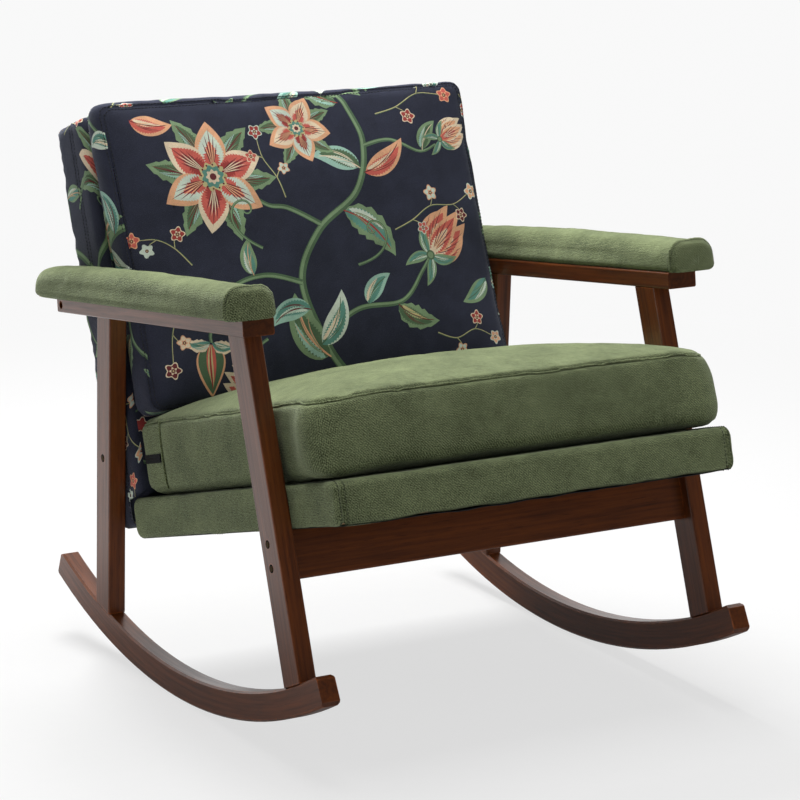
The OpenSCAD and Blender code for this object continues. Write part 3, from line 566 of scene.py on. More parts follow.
def tube(line, radius, sides=8, closed=False, flatten=None):
    """Points and faces of a thin tube along a line. A row of upward directions may be given to flatten."""
    line = np.array(line, float)
    count = len(line)
    ahead = np.roll(line, -1, 0) - np.roll(line, 1, 0)
    if not closed:
        ahead[0], ahead[-1] = line[1] - line[0], line[-1] - line[-2]
    ahead /= np.maximum(np.linalg.norm(ahead, axis=1, keepdims=True), 1e-12)
    up = np.array(flatten) if flatten is not None else np.tile([0.0, 0.0, 1.0], (count, 1))
    across = np.cross(ahead, up)
    bad = np.linalg.norm(across, axis=1) < 1e-6
    across[bad] = np.cross(ahead[bad], [1.0, 0.0, 0.1])
    across /= np.linalg.norm(across, axis=1, keepdims=True)
    up = np.cross(across, ahead)
    turns = np.arange(sides) * 2 * pi / sides
    out = np.cos(turns)[None, :, None] * across[:, None] + np.sin(turns)[None, :, None] * up[:, None]
    points = (line[:, None] + radius * out).reshape(-1, 3)
    faces = []
    for k in range(count if closed else count - 1):
        low, high = k * sides, (k + 1) % count * sides
        faces += [(low + j, low + (j + 1) % sides, high + (j + 1) % sides, high + j) for j in range(sides)]
    if not closed:
        faces.append(tuple(reversed(range(sides))))
        faces.append(tuple(range((count - 1) * sides, count * sides)))
    return points, faces


def stitches(name, lines, look, at):
    """A row of thread stitches along each (line, normals)."""
    pitch, length, radius, lift = 0.0050, 0.0034, 0.00055, 0.0002
    all_points, all_faces, base = [], [], 0
    for line, normals in lines:
        steps = np.linalg.norm(np.diff(line, axis=0), axis=1)
        run = np.concatenate([[0], np.cumsum(steps)])
        for start in np.arange(pitch / 2, run[-1] - length, pitch):
            where = start + length * np.array([0, 0.2, 0.5, 0.8, 1])
            sink = radius * np.array([-1.6, 0.1, 0.5, 0.1, -1.6]) + lift
            spots = np.column_stack([np.interp(where, run, line[:, k]) for k in range(3)])
            up = np.column_stack([np.interp(where, run, normals[:, k]) for k in range(3)])
            up /= np.maximum(np.linalg.norm(up, axis=1, keepdims=True), 1e-9)
            points, faces = tube(spots + up * sink[:, None], radius, 5, flatten=up)
            all_points.append(points)
            all_faces += [tuple(v + base for v in f) for f in faces]
            base += len(points)
    return new_object(name, np.concatenate(all_points), all_faces, look, at)


# Print: a floral design in flat shapes, drawn in metres on the cloth
CREAM, PEACH, CORAL = srgb(234, 214, 184), srgb(230, 174, 134), srgb(208, 100, 88)
RUST, WINE, SAGE = srgb(168, 66, 62), srgb(112, 46, 50), srgb(130, 156, 118)
MOSS, TEAL, AQUA = srgb(86, 112, 82), srgb(96, 148, 134), srgb(160, 198, 182)
PALE, GROUND, STRAW = srgb(208, 220, 204), srgb(43, 46, 62), srgb(202, 190, 138)
# The outlines and colours of the design, the lowest first
shapes = []


def turning(points):
    """Twice the area within a line, below zero if it runs clockwise."""
    x, y = points.T
    return (x * np.roll(y, -1) - y * np.roll(x, -1)).sum()


def inside(points, polygon):
    """Which points lie inside a polygon."""
    x, y = points.T
    out = np.zeros(len(points), bool)
    for (x0, y0), (x1, y1) in zip(polygon, np.roll(polygon, -1, 0)):
        if y0 != y1:
            out ^= ((y0 > y) != (y1 > y)) & (x < (x1 - x0) * (y - y0) / (y1 - y0) + x0)
    return out


def area_of(points):
    return abs(turning(points)) / 2


def fill(points, colour):
    """Adds a shape, turned anticlockwise."""
    points = np.array(points, float)
    shapes.append((points if turning(points) > 0 else points[::-1], colour))


def blade(at, turn, length, width, bend=0.0, belly=0.8, teeth=0, bite=0.0, start=0.0, steps=0):
    """Outline of a petal or leaf: it grows from a point, bends, and may have a toothed edge. Start is its width at the foot,
    as a share, and belly below 1 brings its widest part towards the foot."""
    steps = steps or (max(12, teeth * 3) if teeth else 14)
    t = np.linspace(0, 1, steps + 1)
    heading = turn + bend * t
    path = np.cumsum(np.column_stack([np.cos(heading), np.sin(heading)]) * length / steps, axis=0) + at
    half = width / 2 * (start + (1 - start) * np.sin(pi * t ** belly) ** 0.9)
    half[-1] = 0
    if teeth:
        half *= 1 + bite * (1 - (t * teeth) % 1.0) - bite / 2
    across = np.column_stack([-np.sin(heading), np.cos(heading)]) * half[:, None]
    return np.vstack([path + across, (path - across)[::-1]])


def ray(turn):
    return np.array([cos(turn), sin(turn)])


def hatch(at, turn, length, width, bend, shifts, longest, step, inks):
    """Fine strokes that fan out from a point, every other one shorter by the step."""
    for k, shift in enumerate(shifts):
        reach = length * (longest - 1.0 * abs(shift) - step * (k % 2))
        fill(blade(at, turn + shift, reach, width, bend, steps=6), inks[k % 2])


def petal(at, turn, length, width, bend, painted_shade_rim, body, core, streak=WINE, belly=0.8):
    fill(blade(at, turn, length, width, bend, belly), painted_shade_rim)
    ahead = ray(turn) * length
    fill(blade(at + ahead * 0.03, turn, length * 0.84, width * 0.78, bend * 0.85, belly, 15, 0.24), body)
    fill(blade(at + ahead * 0.02, turn, length * 0.62, width * 0.46, bend * 0.62, 0.7, 12, 0.62), core)
    shifts = (-0.27, -0.20, -0.13, -0.065, 0.0, 0.065, 0.13, 0.20, 0.27)
    hatch(at + ahead * 0.06, turn, length, width * 0.042, bend * 0.6, shifts, 0.76, 0.13, (streak, painted_shade_rim))


def leaf(at, turn, length, width, bend, painted_shade_rim=SAGE, body=TEAL, vein=PALE, rib=MOSS, teeth=0):
    at = np.array(at)
    fill(blade(at, turn, length, width, bend, 0.75, teeth, 0.34 if teeth else 0.0), painted_shade_rim)
    ahead, side = ray(turn) * length, np.array([-sin(turn), cos(turn)]) * width
    fill(blade(at + ahead * 0.05 - side * 0.03, turn, length * 0.85, width * 0.62, bend * 0.86, 0.75, 16, 0.34), body)
    fill(blade(at + ahead * 0.10 + side * 0.10, turn + 0.04, length * 0.66, width * 0.22, bend * 0.7, 0.7, 13, 0.85), vein)
    fill(blade(at - ahead * 0.02, turn, length * 0.9, width * 0.06, bend * 0.92, 0.5, start=0.6), rib)
    shifts = (-0.20, -0.14, -0.08, 0.07, 0.13, 0.19)
    hatch(at + ahead * 0.10, turn, length, width * 0.035, bend * 0.75, shifts, 0.72, 0.10, (rib, painted_shade_rim))


def ribbon(path, across, half, light, inner, outer):
    """A stem's shape along a path, and its lighter streak."""
    fill(np.vstack([path + across * half, (path - across * half)[::-1]]), MOSS)
    fill(np.vstack([path + across * half * inner, (path - across * half * outer)[::-1]]), light)


def stem(points, wide, narrow, light=SAGE):
    """A smooth stem through the points, which narrows on the way."""
    points = np.array(points, float)
    count = len(points)
    t = np.linspace(0, count - 1, (count - 1) * 12 + 1)
    low = np.clip(t.astype(int), 0, count - 2)
    u = (t - low)[:, None]
    p0, p1 = points[np.maximum(low - 1, 0)], points[low]
    p2, p3 = points[low + 1], points[np.minimum(low + 2, count - 1)]
    path = 2 * p1 + (p2 - p0) * u + (2 * p0 - 5 * p1 + 4 * p2 - p3) * u ** 2 + (3 * p1 - p0 - 3 * p2 + p3) * u ** 3
    path = 0.5 * path
    ahead = np.gradient(path, axis=0)
    ahead /= np.linalg.norm(ahead, axis=1, keepdims=True)
    across = np.column_stack([-ahead[:, 1], ahead[:, 0]])
    ribbon(path, across, np.linspace(wide, narrow, len(path))[:, None] / 2, light, 0.72, 0.15)
    return path


def disc(at, radius, colour, lobes=0, depth=0.0, turn=0.0, steps=20):
    steps = lobes * 7 or steps
    t = np.arange(steps) * 2 * pi / steps
    r = radius * (1 + depth * np.cos(lobes * (t - turn)))
    fill(np.column_stack([at[0] + r * np.cos(t), at[1] + r * np.sin(t)]), colour)


def small_flower(at, radius, colour, painted_shade_rim, turn):
    disc(at, radius, painted_shade_rim, 5, 0.20, turn)
    disc(at, radius * 0.84, colour, 5, 0.22, turn)
    disc(at, radius * 0.42, painted_shade_rim, 5, 0.30, turn + pi / 5)
    disc(at, radius * 0.28, WINE, steps=10)
    disc(at, radius * 0.13, STRAW, steps=8)


def sprig(path, sizes, colours, away, seed=0):
    """A thin branching twig with small flowers on both sides and one at its end."""
    path = stem(path, 0.0026, 0.0014, STRAW)
    for number, (size, colour) in enumerate(zip(sizes, colours)):
        k = int((number + 1) / len(sizes) * (len(path) - 1))
        ahead = path[k] - path[max(k - 1, 0)]
        ahead /= np.linalg.norm(ahead)
        side = (1 if number % 2 else -1) if number < len(sizes) - 1 else 0
        tip = path[k] + np.array([-ahead[1], ahead[0]]) * side * away + ahead * away * 0.5
        stem([path[k], (path[k] + tip) / 2 + ahead * 0.003, tip], 0.0018, 0.0012, STRAW)
        small_flower(tip, size, colour, (CREAM, PALE, PEACH)[(number + seed) % 3], number * 0.7 + seed)


def bloom(at, radius, petals, turn, schemes=((CREAM, CORAL, RUST), (PEACH, PALE, CORAL)), wide=0.62):
    """An open flower seen from the front, with toothed sepals behind it."""
    at = np.array(at)
    for k in range(petals):
        heading = turn + (k + 0.5) * 2 * pi / petals
        leaf(at + radius * 0.35 * ray(heading), heading, radius * 0.92, radius * 0.42, 0.25 if k % 2 else -0.25,
             SAGE, MOSS, AQUA, WINE, 5)
    for k in range(petals):
        heading = turn + k * 2 * pi / petals
        petal(at + radius * 0.10 * ray(heading), heading, radius * 0.95, radius * wide, 0.12 if k % 2 else -0.12,
              *schemes[k % len(schemes)])
    disc(at, radius * 0.27, STRAW, 10, 0.10)
    disc(at, radius * 0.21, TEAL, 8, 0.12, 0.2)
    disc(at, radius * 0.13, CREAM, 8, 0.14)
    disc(at, radius * 0.07, WINE, steps=10)
    for k in range(12):
        heading = turn + k * 2 * pi / 12
        disc(at + radius * 0.24 * ray(heading), radius * 0.022, WINE, steps=6)


def cup(at, turn, size, painted_shade_rim=PEACH, body=CORAL, core=CREAM):
    """A half open flower from the side, on four sepals."""
    at = np.array(at)
    for shift, length, bend in ((0.85, 0.82, -0.9), (-0.85, 0.82, 0.9), (0.45, 0.98, -0.45), (-0.45, 0.98, 0.45),
                                (0.0, 1.04, 0.0)):
        petal(at, turn + shift, size * length, size * 0.40, bend, painted_shade_rim, body, core, WINE, 0.72)
    for shift, bend in ((1.35, -1.0), (-1.35, 1.0), (2.3, 0.7), (-2.3, -0.7)):
        leaf(at, turn + shift, size * 0.55, size * 0.20, bend, SAGE, TEAL, PALE, MOSS)
    disc(at, size * 0.09, MOSS, steps=12)
    disc(at, size * 0.06, SAGE, steps=10)


def pod(at, turn, size):
    """A ribbed seed pod on two leaves."""
    at = np.array(at)
    fill(blade(at, turn, size, size * 0.62, 0.25, 0.62), PEACH)
    fill(blade(at, turn, size * 0.94, size * 0.54, 0.25, 0.62), MOSS)
    for shift, colour in ((-0.30, CORAL), (-0.15, STRAW), (0.0, RUST), (0.15, STRAW), (0.30, CORAL)):
        fill(blade(at, turn + shift, size * (0.88 - abs(shift) * 0.4), size * 0.07, 0.25 - shift * 1.9, 0.7), colour)
    for shift, bend in ((0.9, 1.3), (-0.9, -1.3)):
        leaf(at, turn + shift, size * 0.55, size * 0.24, bend, CREAM, TEAL, PALE, MOSS, 4)


def curl(at, turn, size, way):
    """A tendril that winds up at its end."""
    t = np.linspace(0, 1, 40)
    heading = turn + way * 7.2 * t ** 1.8
    step = size * 0.075 * (1 - 0.78 * t)
    path = np.cumsum(np.column_stack([np.cos(heading), np.sin(heading)]) * step[:, None], axis=0) + at
    across = np.column_stack([-np.sin(heading), np.cos(heading)])
    ribbon(path, across, (0.0022 - 0.0010 * t)[:, None], SAGE, 0.6, 0.2)


# One repeat of the design. The back cushion shows all of it, and other panels show it shifted.
stem([(0.078, -0.236), (0.030, -0.205), (-0.014, -0.150), (-0.040, -0.060), (0.000, 0.010), (0.070, 0.060), (0.098, 0.130),
      (0.088, 0.185), (0.078, 0.206)], 0.0125, 0.0075)
stem([(-0.026, -0.140), (0.040, -0.105), (0.110, -0.100), (0.150, -0.060), (0.168, -0.040)], 0.0085, 0.0045)
stem([(-0.040, -0.060), (-0.095, -0.045), (-0.150, -0.060), (-0.185, -0.110), (-0.188, -0.128)], 0.0080, 0.0040)
stem([(0.005, 0.018), (-0.040, 0.045), (-0.070, 0.052), (-0.100, 0.075)], 0.0080, 0.0050)
stem([(0.098, 0.125), (0.140, 0.130), (0.185, 0.110), (0.215, 0.118)], 0.0065, 0.0035)
leaf((0.040, -0.212), 0.10, 0.080, 0.036, -0.9, SAGE, TEAL, PALE, WINE)
leaf((-0.006, -0.168), 2.6, 0.105, 0.046, -1.1, SAGE, MOSS, AQUA, PEACH)
leaf((-0.028, -0.150), 0.55, 0.085, 0.034, 0.95, PALE, TEAL, CREAM, MOSS)
leaf((-0.030, -0.100), 2.75, 0.070, 0.030, 1.3, AQUA, TEAL, PALE, WINE)
leaf((0.040, 0.036), -0.35, 0.100, 0.040, -0.9, SAGE, TEAL, PALE, RUST, 6)
leaf((0.084, 0.085), 0.15, 0.085, 0.032, 0.8, PEACH, CORAL, CREAM, WINE)
leaf((0.086, 0.090), 2.35, 0.075, 0.034, 0.9, AQUA, MOSS, PALE, CREAM)
leaf((0.100, -0.102), -0.9, 0.070, 0.030, 0.9, SAGE, MOSS, STRAW, WINE, 5)
leaf((0.055, -0.103), 1.25, 0.058, 0.026, -0.9, AQUA, TEAL, CREAM, MOSS)
leaf((-0.110, -0.046), 1.9, 0.052, 0.024, -0.7, SAGE, TEAL, PALE, PEACH)
leaf((-0.150, -0.060), -2.2, 0.060, 0.026, 1.0, PALE, TEAL, CREAM, MOSS)
leaf((0.190, 0.109), 1.35, 0.052, 0.024, -0.8, SAGE, MOSS, AQUA, CREAM)
leaf((0.080, 0.190), 2.9, 0.070, 0.028, -0.8, SAGE, MOSS, AQUA, RUST, 5)
bloom((-0.142, 0.098), 0.072, 6, 0.35)
cup((0.168, -0.040), 0.75, 0.080)
cup((0.225, 0.125), 0.35, 0.052, CREAM, PEACH, CORAL)
pod((-0.188, -0.126), -1.75, 0.070)
cup((-0.120, -0.205), 2.55, 0.058, CREAM, CORAL, PEACH)
stem([(0.020, -0.196), (-0.040, -0.214), (-0.120, -0.205)], 0.0060, 0.0035)
bloom((0.002, 0.158), 0.046, 5, 1.1, ((PEACH, CREAM, CORAL), (PEACH, PALE, RUST)), 0.72)
sprig([(-0.196, -0.020), (-0.215, 0.005), (-0.238, 0.020), (-0.262, 0.022)],
      (0.0095, 0.0085, 0.0100), (RUST, PALE, CORAL), 0.018)
sprig([(0.118, 0.000), (0.150, 0.012), (0.185, 0.030), (0.225, 0.030), (0.256, 0.044)],
      (0.0085, 0.0100, 0.0090, 0.0105), (CORAL, PALE, WINE, PEACH), 0.017, 1)
sprig([(-0.040, 0.060), (-0.046, 0.090), (-0.060, 0.120), (-0.062, 0.150)],
      (0.0080, 0.0085, 0.0095), (PALE, CORAL, RUST), 0.016, 2)
sprig([(0.130, 0.170), (0.165, 0.178), (0.205, 0.196), (0.240, 0.192)],
      (0.0100, 0.0085, 0.0105), (RUST, PALE, CORAL), 0.019, 0)
sprig([(-0.205, -0.060), (-0.226, -0.080), (-0.240, -0.110), (-0.246, -0.150)],
      (0.0095, 0.0090, 0.0105), (CORAL, CREAM, WINE), 0.017, 1)
sprig([(0.160, -0.150), (0.190, -0.160), (0.222, -0.150), (0.250, -0.160)],
      (0.0085, 0.0095, 0.0090), (PALE, RUST, PEACH), 0.016, 2)
curl((-0.085, -0.010), 2.6, 0.075, -1)
curl((0.045, -0.045), 0.2, 0.075, 1)
curl((-0.100, -0.130), 3.6, 0.060, 1)
leaf((-0.245, 0.190), -0.6, 0.062, 0.030, 0.8, PEACH, CORAL, CREAM, WINE)
leaf((0.262, -0.075), -2.2, 0.060, 0.026, -0.7, SAGE, TEAL, PALE, MOSS)
leaf((-0.262, -0.070), 0.6, 0.050, 0.024, 0.8, AQUA, TEAL, CREAM, RUST)
REPEAT = np.array([0.56, 0.44])


def printed_panel(edge, shift, spacing, flip=1.0, least=0.0):
    """Triangles of the cloth inside the edge, cut along the outlines of the print, and their colours.

    The edge is a closed line on the cloth, shift moves the design, spacing is that of the plain cloth's grid, and least is
    the area of the smallest shape printed."""
    edge = np.array(edge)
    low, high = edge.min(0), edge.max(0)
    coords, loops, prints = [], [], []

    def add(points):
        loops.append(list(range(len(coords), len(coords) + len(points))))
        coords.extend(Vector(p) for p in points)

    add(edge)
    first = np.floor((low - np.array(shift) - 0.33) / REPEAT).astype(int)
    last = np.ceil((high - np.array(shift) + 0.33) / REPEAT).astype(int)
    tiles = [REPEAT * (i, j) for i in range(first[0], last[0] + 1) for j in range(first[1], last[1] + 1)]
    for polygon, colour in ((p * np.array([flip, 1]) + np.array(shift) + tile, c) for tile in tiles for p, c in shapes):
        if (polygon.max(0) > low).all() and (polygon.min(0) < high).all() and area_of(polygon) >= least:
            add(polygon if flip > 0 else polygon[::-1])
            prints.append((polygon, colour))
    counts = np.maximum(1, ((high - low) / spacing).astype(int))
    for i in range(1, counts[0]):
        for j in range(1, counts[1]):
            off = 0.25 * ((i + j) % 2)
            coords.append(Vector(low + (high - low) * (i + off, j + off) / counts))
    verts, _, faces, _, _, held = delaunay_2d_cdt(coords, [], loops, 0, 1e-5)
    verts, faces = np.array(verts), [face for face, own in zip(faces, held) if 0 in own]
    middles = verts[np.array(faces)].mean(1)
    colours = np.tile(GROUND, (len(faces), 1))
    for polygon, colour in prints:
        near = np.nonzero((middles > polygon.min(0)).all(1) & (middles < polygon.max(0)).all(1))[0]
        colours[near[inside(middles[near], polygon)]] = colour
    return verts, faces, colours


# Seat cushion, with rounder corners at the front
cushion_at = seat_place @ Matrix.Translation((0, 0.28426, 0.0003))
CORNERS = (0.020, 0.020, 0.040, 0.040)
cushion = Boxed(0.283, 0.27226, 0.098, 0.036, CORNERS, 0.0163)
cushion_skin = swollen_cushion("cushion_sim", Boxed(0.2825, 0.2718, 0.0975, 0.024, CORNERS, 0.0163, swell=0.0), 0.022)
SEAT_CROWN = 0.137
# The cushion grows wider ahead of the legs, by this much and between these shares of its half length
FLARE, FLARE_FROM, FLARE_TO = 0.009, 0.62, 0.88


def eased(share):
    share = np.clip(share, 0, 1)
    return share * share * (3 - 2 * share)


def flared(points):
    out = points.copy()
    out[:, 0] *= 1 + FLARE / cushion.a * eased((-points[:, 1] / cushion.b - FLARE_FROM) / (FLARE_TO - FLARE_FROM))
    return out


def seat_skin(points):
    """The cushion's own shape: its front corners are full below and sink a little on top, the boxing swells ahead of the
    legs, and its lower front edge lifts off the seat base."""
    out = flared(cushion_skin.crowned(points, cushion.h, SEAT_CROWN))
    ahead = eased((-out[:, 1] - 0.17) / 0.08)
    for side in (-1, 1):
        away = np.hypot(out[:, 0] - side * 0.290, out[:, 1] + 0.272)
        near = np.exp(-(away / 0.045) ** 2) * eased((out[:, 2] - 0.05) / 0.045)
        out += near[:, None] * np.array([-side * 0.0020, 0.0020, -0.0025])
        low = np.exp(-(away / 0.050) ** 2) * eased(1 - (out[:, 2] - 0.012) / 0.045)
        out += low[:, None] * np.array([side * 0.0040, -0.0020, -0.0110])
    belly = np.sin(pi * np.clip(out[:, 2] / cushion.h, 0, 1))
    out[:, 0] += np.sign(out[:, 0]) * 0.0085 * ahead * belly * eased((np.abs(out[:, 0]) - 0.22) / 0.06)
    out[:, 2] += 0.0065 * ahead * eased(1 - out[:, 2] / 0.045)
    out[:, 2] += 0.003 * eased((out[:, 2] - 0.03) / 0.05)
    out[:, 2] = np.maximum(out[:, 2], 0)
    return out


points, faces = loft([cushion.ring(inset, z, 84, 14) for inset, z in cushion.profile(1.3)])
points = seat_skin(points)
cushion_seam = dense(seat_skin(cushion.ring(0, cushion.h, 84, 14)), closed=True)
under_seam = dense(seat_skin(cushion.ring(0.003, 0.006, 84, 14)), closed=True)
ZIP_END = cushion.b - 0.0666
drop = np.linspace(0.004, 0.098, 30)
bow = 0.004 * np.sin(pi * drop / 0.098)
side_seams = [dense(seat_skin(np.column_stack([np.full(30, side * 0.2855), ZIP_END - 0.001 - bow, drop])))
              for side in (-1, 1)]
normals = normals_of(points, faces)
# A soft diagonal wrinkle on the top, near the front corner at the sitter's right
fold = dense([(-0.245, -0.262, 0.104), (-0.215, -0.235, 0.115), (-0.180, -0.222, 0.122), (-0.150, -0.205, 0.126)])
points = wrinkled(points, normals, 0.0016, 9.0, 3.1)
points = sewn(points, normals, [cushion_seam], 0.0030, 0.0034, 0.0011, 0.022, 0.4)
points = sewn(points, normals, [under_seam], 0.0016, 0.0026, 0.0006, 0.012, 5.4)
points = sewn(points, normals, side_seams, 0.0016, 0.0060, 0.0006, 0.012, 6.4)
points = sewn(points, normals, [fold], 0.0030, 0.007, 0.0, 0.02, 9.4)
points[:, 2] = np.maximum(points[:, 2], 0)
piece(new_object("seat_cushion_cover", points, faces, green, cushion_at), "seat_cushion",
      ("seat_cushion",))
cushion_top = BVHTree.FromPolygons([cushion_at @ Vector(p) for p in points], faces)

# The welt that the top seam makes, bedded in its groove
skin = BVHTree.FromPolygons([Vector(p) for p in points], faces)
bed = [skin.find_nearest(Vector(p))[:2] for p in cushion_seam]
line = np.array([spot + up * 0.0009 for spot, up in bed])
for _ in range(2):
    line = (np.roll(line, 1, 0) + line + np.roll(line, -1, 0)) / 3
welt = new_object("seat_cushion_welt", *tube(line, 0.0013, closed=True), green, cushion_at)
piece(welt, "seat_cushion")

# The folds where the zip's panel is sewn to the boxing
points, faces = tube(side_seams[0], 0.0015)
more, others = tube(side_seams[1], 0.0015)
faces += [tuple(v + len(points) for v in face) for face in others]
folds = new_object("seat_cushion_side_folds", np.vstack([points, more]), faces, green, cushion_at)
piece(folds, "seat_cushion")

# Zip tape round the back of the boxing. Its section is (height, how proud) and ends inside the cover.
ZIP_MID = 0.049
half_section = [(0.0010, 0.0010), (0.0022, 0.0010), (0.0031, 0.0019), (0.0040, 0.0010), (0.0055, 0.0008), (0.0056, 0.0)]
section = [(-height, proud) for height, proud in reversed(half_section)] + [(0.0, 0.0021)] + half_section
section += [(0.0048, -0.0012), (-0.0048, -0.0012)]
path = rounded_outline(cushion.a, cushion.b, cushion.r, cushion.pull, 84, 14)
count = len(path)
keep = [k for k in range(count) if path[k][1] > ZIP_END]
start = next(k for k in keep if (k - 1) % count not in keep)
run = path[[(start + k) % count for k in range(len(keep))]]
run = np.vstack([[run[0][0], ZIP_END], run, [run[-1][0], ZIP_END]])
ahead = np.gradient(run, axis=0)
ahead /= np.linalg.norm(ahead, axis=1, keepdims=True)
out = np.column_stack([ahead[:, 1], -ahead[:, 0], np.zeros(len(run))])
lines = [seat_skin(np.column_stack([run + out[:, :2] * 0.002, np.full(len(run), ZIP_MID + height)])) + out * proud
         for height, proud in section]
tape = new_object("seat_zip_tape", *loft(list(np.array(lines).swapaxes(0, 1))), black_tape, cushion_at, smooth=False)
piece(tape, "seat_cushion", ("seat_zip",))

# Seat base: a cover over its whole width, with an end panel sewn in at each side
base_at = seat_place @ Matrix.Translation((0, 0.29503, -0.027))


BASE_LONG, BASE_HIGH, END, END_RADIUS, BASE_SEAM = 0.29503, 0.027, 0.2882, 0.007, 0.0100


def base_ring(x, inset):
    low = BASE_HIGH - inset
    flat = rounded_outline(BASE_LONG - inset, low, min(0.0110, 0.95 * low), 0.0, 70, 8)
    return np.column_stack([np.full(len(flat), x), flat])


edge = [(-END, inset) for inset in (0.0268, 0.0255, 0.0235, 0.021, 0.018, 0.015, 0.012, 0.009)]
edge += [(-END + END_RADIUS * (1 - cos(t)), END_RADIUS * (1 - sin(t))) for t in np.linspace(0.0, pi / 2, 6)]
steps = (0.0085, 0.0100, 0.0115, 0.013, 0.016, 0.021, 0.028)
middle = [-END + d for d in steps] + list(np.linspace(-0.245, 0.245, 60)) + [END - d for d in reversed(steps)]
sections = edge + [(x, 0) for x in middle] + [(-x, inset) for x, inset in reversed(edge)]
points, faces = loft([base_ring(x, inset) for x, inset in sections])
normals = normals_of(points, faces)
base_seams = [dense(base_ring(side * (END - BASE_SEAM), 0), closed=True) for side in (-1, 1)]
points = wrinkled(points, normals, 0.0011, 11.0, 8.2, (1, 1, 0.5))
points = sewn(points, normals, base_seams, 0.0030, 0.0022, 0.0009, 0.014, 2.0)
# Its lower front edge is pulled unevenly over the frame
wave = np.array([noise.noise(Vector((p[0] * 26, 3.3, 0))) for p in points])
low = np.clip((-points[:, 2] - 0.012) / 0.012, 0, 1)
points[:, 2] -= low * (0.0012 + 0.0022 * wave) * np.clip((-points[:, 1] - 0.26) / 0.02, 0, 1)
under = (points[:, 2] < -0.0262) & (np.abs(points[:, 0]) < 0.283) & (np.abs(points[:, 1]) < 0.288)
points[under, 2] = np.minimum(points[under, 2], -0.0268)
points[:, 2] = np.minimum(points[:, 2], 0.027)
points[:, 0] = np.clip(points[:, 0], -0.2884, 0.2884)
seat_base = piece(new_object("seat_base_cover", points, faces, green, base_at), "frame", ("seat_base",))

# Dust cloth, stapled under the seat base. It sags a little behind the front rail, and its front and rear edges droop.
HALF_WIDE, FRONT_EDGE, REAR_EDGE, SAG_FROM, GRID = 0.280, 0.2915, 0.288, 0.10, 40
points = []
for y in np.linspace(-FRONT_EDGE, REAR_EDGE, GRID):
    for x in np.linspace(-HALF_WIDE, HALF_WIDE, GRID):
        sag = (1 - (x / HALF_WIDE) ** 2) * max(0.0, sin(pi * (y + SAG_FROM) / 0.389)) if y > -SAG_FROM else 0
        droop = (abs(y) / FRONT_EDGE) ** 12 * (1 - (x / HALF_WIDE) ** 6)
        wave = 1 + noise.noise(Vector((x * 30, y * 30, 2)))
        points.append((x, y, -0.0276 - 0.005 * sag - 0.0022 * droop * wave))
faces = [(k, k + 1, k + 1 + GRID, k + GRID) for r in range(GRID - 1) for k in range(r * GRID, r * GRID + GRID - 1)]
dust = new_object("dust_cloth_sheet", points, faces, black_cloth, base_at)
run_modifier(dust, "SOLIDIFY", thickness=0.0006, offset=0)
piece(dust, "frame", ("dust_cloth",))

# Arm pads: swollen over their boards, with an end panel sewn in at the front
PAD_LOW, PAD_W, PAD_H, PAD_FRONT, PAD_REAR, PAD_SEAM, PAD_RING = 0.022, 0.068, 0.037, -0.012, 0.610, 0.0090, 72


def pad_ring(y, inset):
    w, h = PAD_W - 2 * inset, PAD_H - inset
    top_r, low_r = min(h, w) * 0.5, min(0.007, 0.45 * h, 0.45 * w)
    corners = [(w - low_r, low_r, low_r, -90, 5), (w - top_r, h - top_r, top_r, 0, 14), (top_r, h - top_r, top_r, 90, 14),
               (low_r, low_r, low_r, 180, 5)]
    flat = []
    for cx, cz, r, turn, steps in corners:
        for i in range(steps):
            t = radians(turn + 90 * i / (steps - 1))
            flat.append((cx + r * cos(t), cz + r * sin(t)))
    line = dense(np.column_stack([flat, np.zeros(len(flat))]), 0.001, closed=True)
    flat = line[np.linspace(0, len(line) - 2, PAD_RING).astype(int)][:, :2]
    rise = 1 + 0.004 / h * np.sin(pi * np.clip(flat[:, 0] / w, 0, 1))
    return np.column_stack([inset + flat[:, 0], np.full(len(flat), y), flat[:, 1] * rise])


pad_length = PAD_REAR - PAD_FRONT
# Sections as (distance from an end, inset)
front = [(0.0, inset) for inset in (0.030, 0.026, 0.022, 0.018, 0.014, 0.010, 0.0055)]
front += [(0.0007, 0.0030), (0.0022, 0.0012), (0.0045, 0.0002)]
front += [(d, 0.0) for d in (0.0075, PAD_SEAM, 0.0105, 0.0120, 0.0145, 0.019, 0.026)]
rear = [(0.060, 0.0), (0.045, 0.0005), (0.034, 0.0018), (0.026, 0.0036), (0.019, 0.0062), (0.013, 0.0094), (0.008, 0.0130),
        (0.004, 0.0172), (0.0012, 0.0222), (0.0, 0.0262), (0.0, 0.030)]
sections = front + [(y, 0.0) for y in np.linspace(0.036, pad_length - 0.065, 78)]
sections += [(pad_length - d, inset) for d, inset in rear]
points, faces = loft([pad_ring(y, inset) for y, inset in sections])
middle = np.array([PAD_W / 2, pad_length / 2, PAD_H / 2])
small = middle + (points - middle) * np.array([0.94, 0.995, 0.93])
pad_skin = simulate("pad_sim", small, faces, [dense(pad_ring(PAD_SEAM, 0), 0.004, True)], 0.004, 0.008, 5.0, 20)
share = np.clip((points[:, 2] - 0.006) / 0.014, 0, 1)[:, None] * 0.5
laid = pad_skin.lay(points) * share + points * (1 - share)
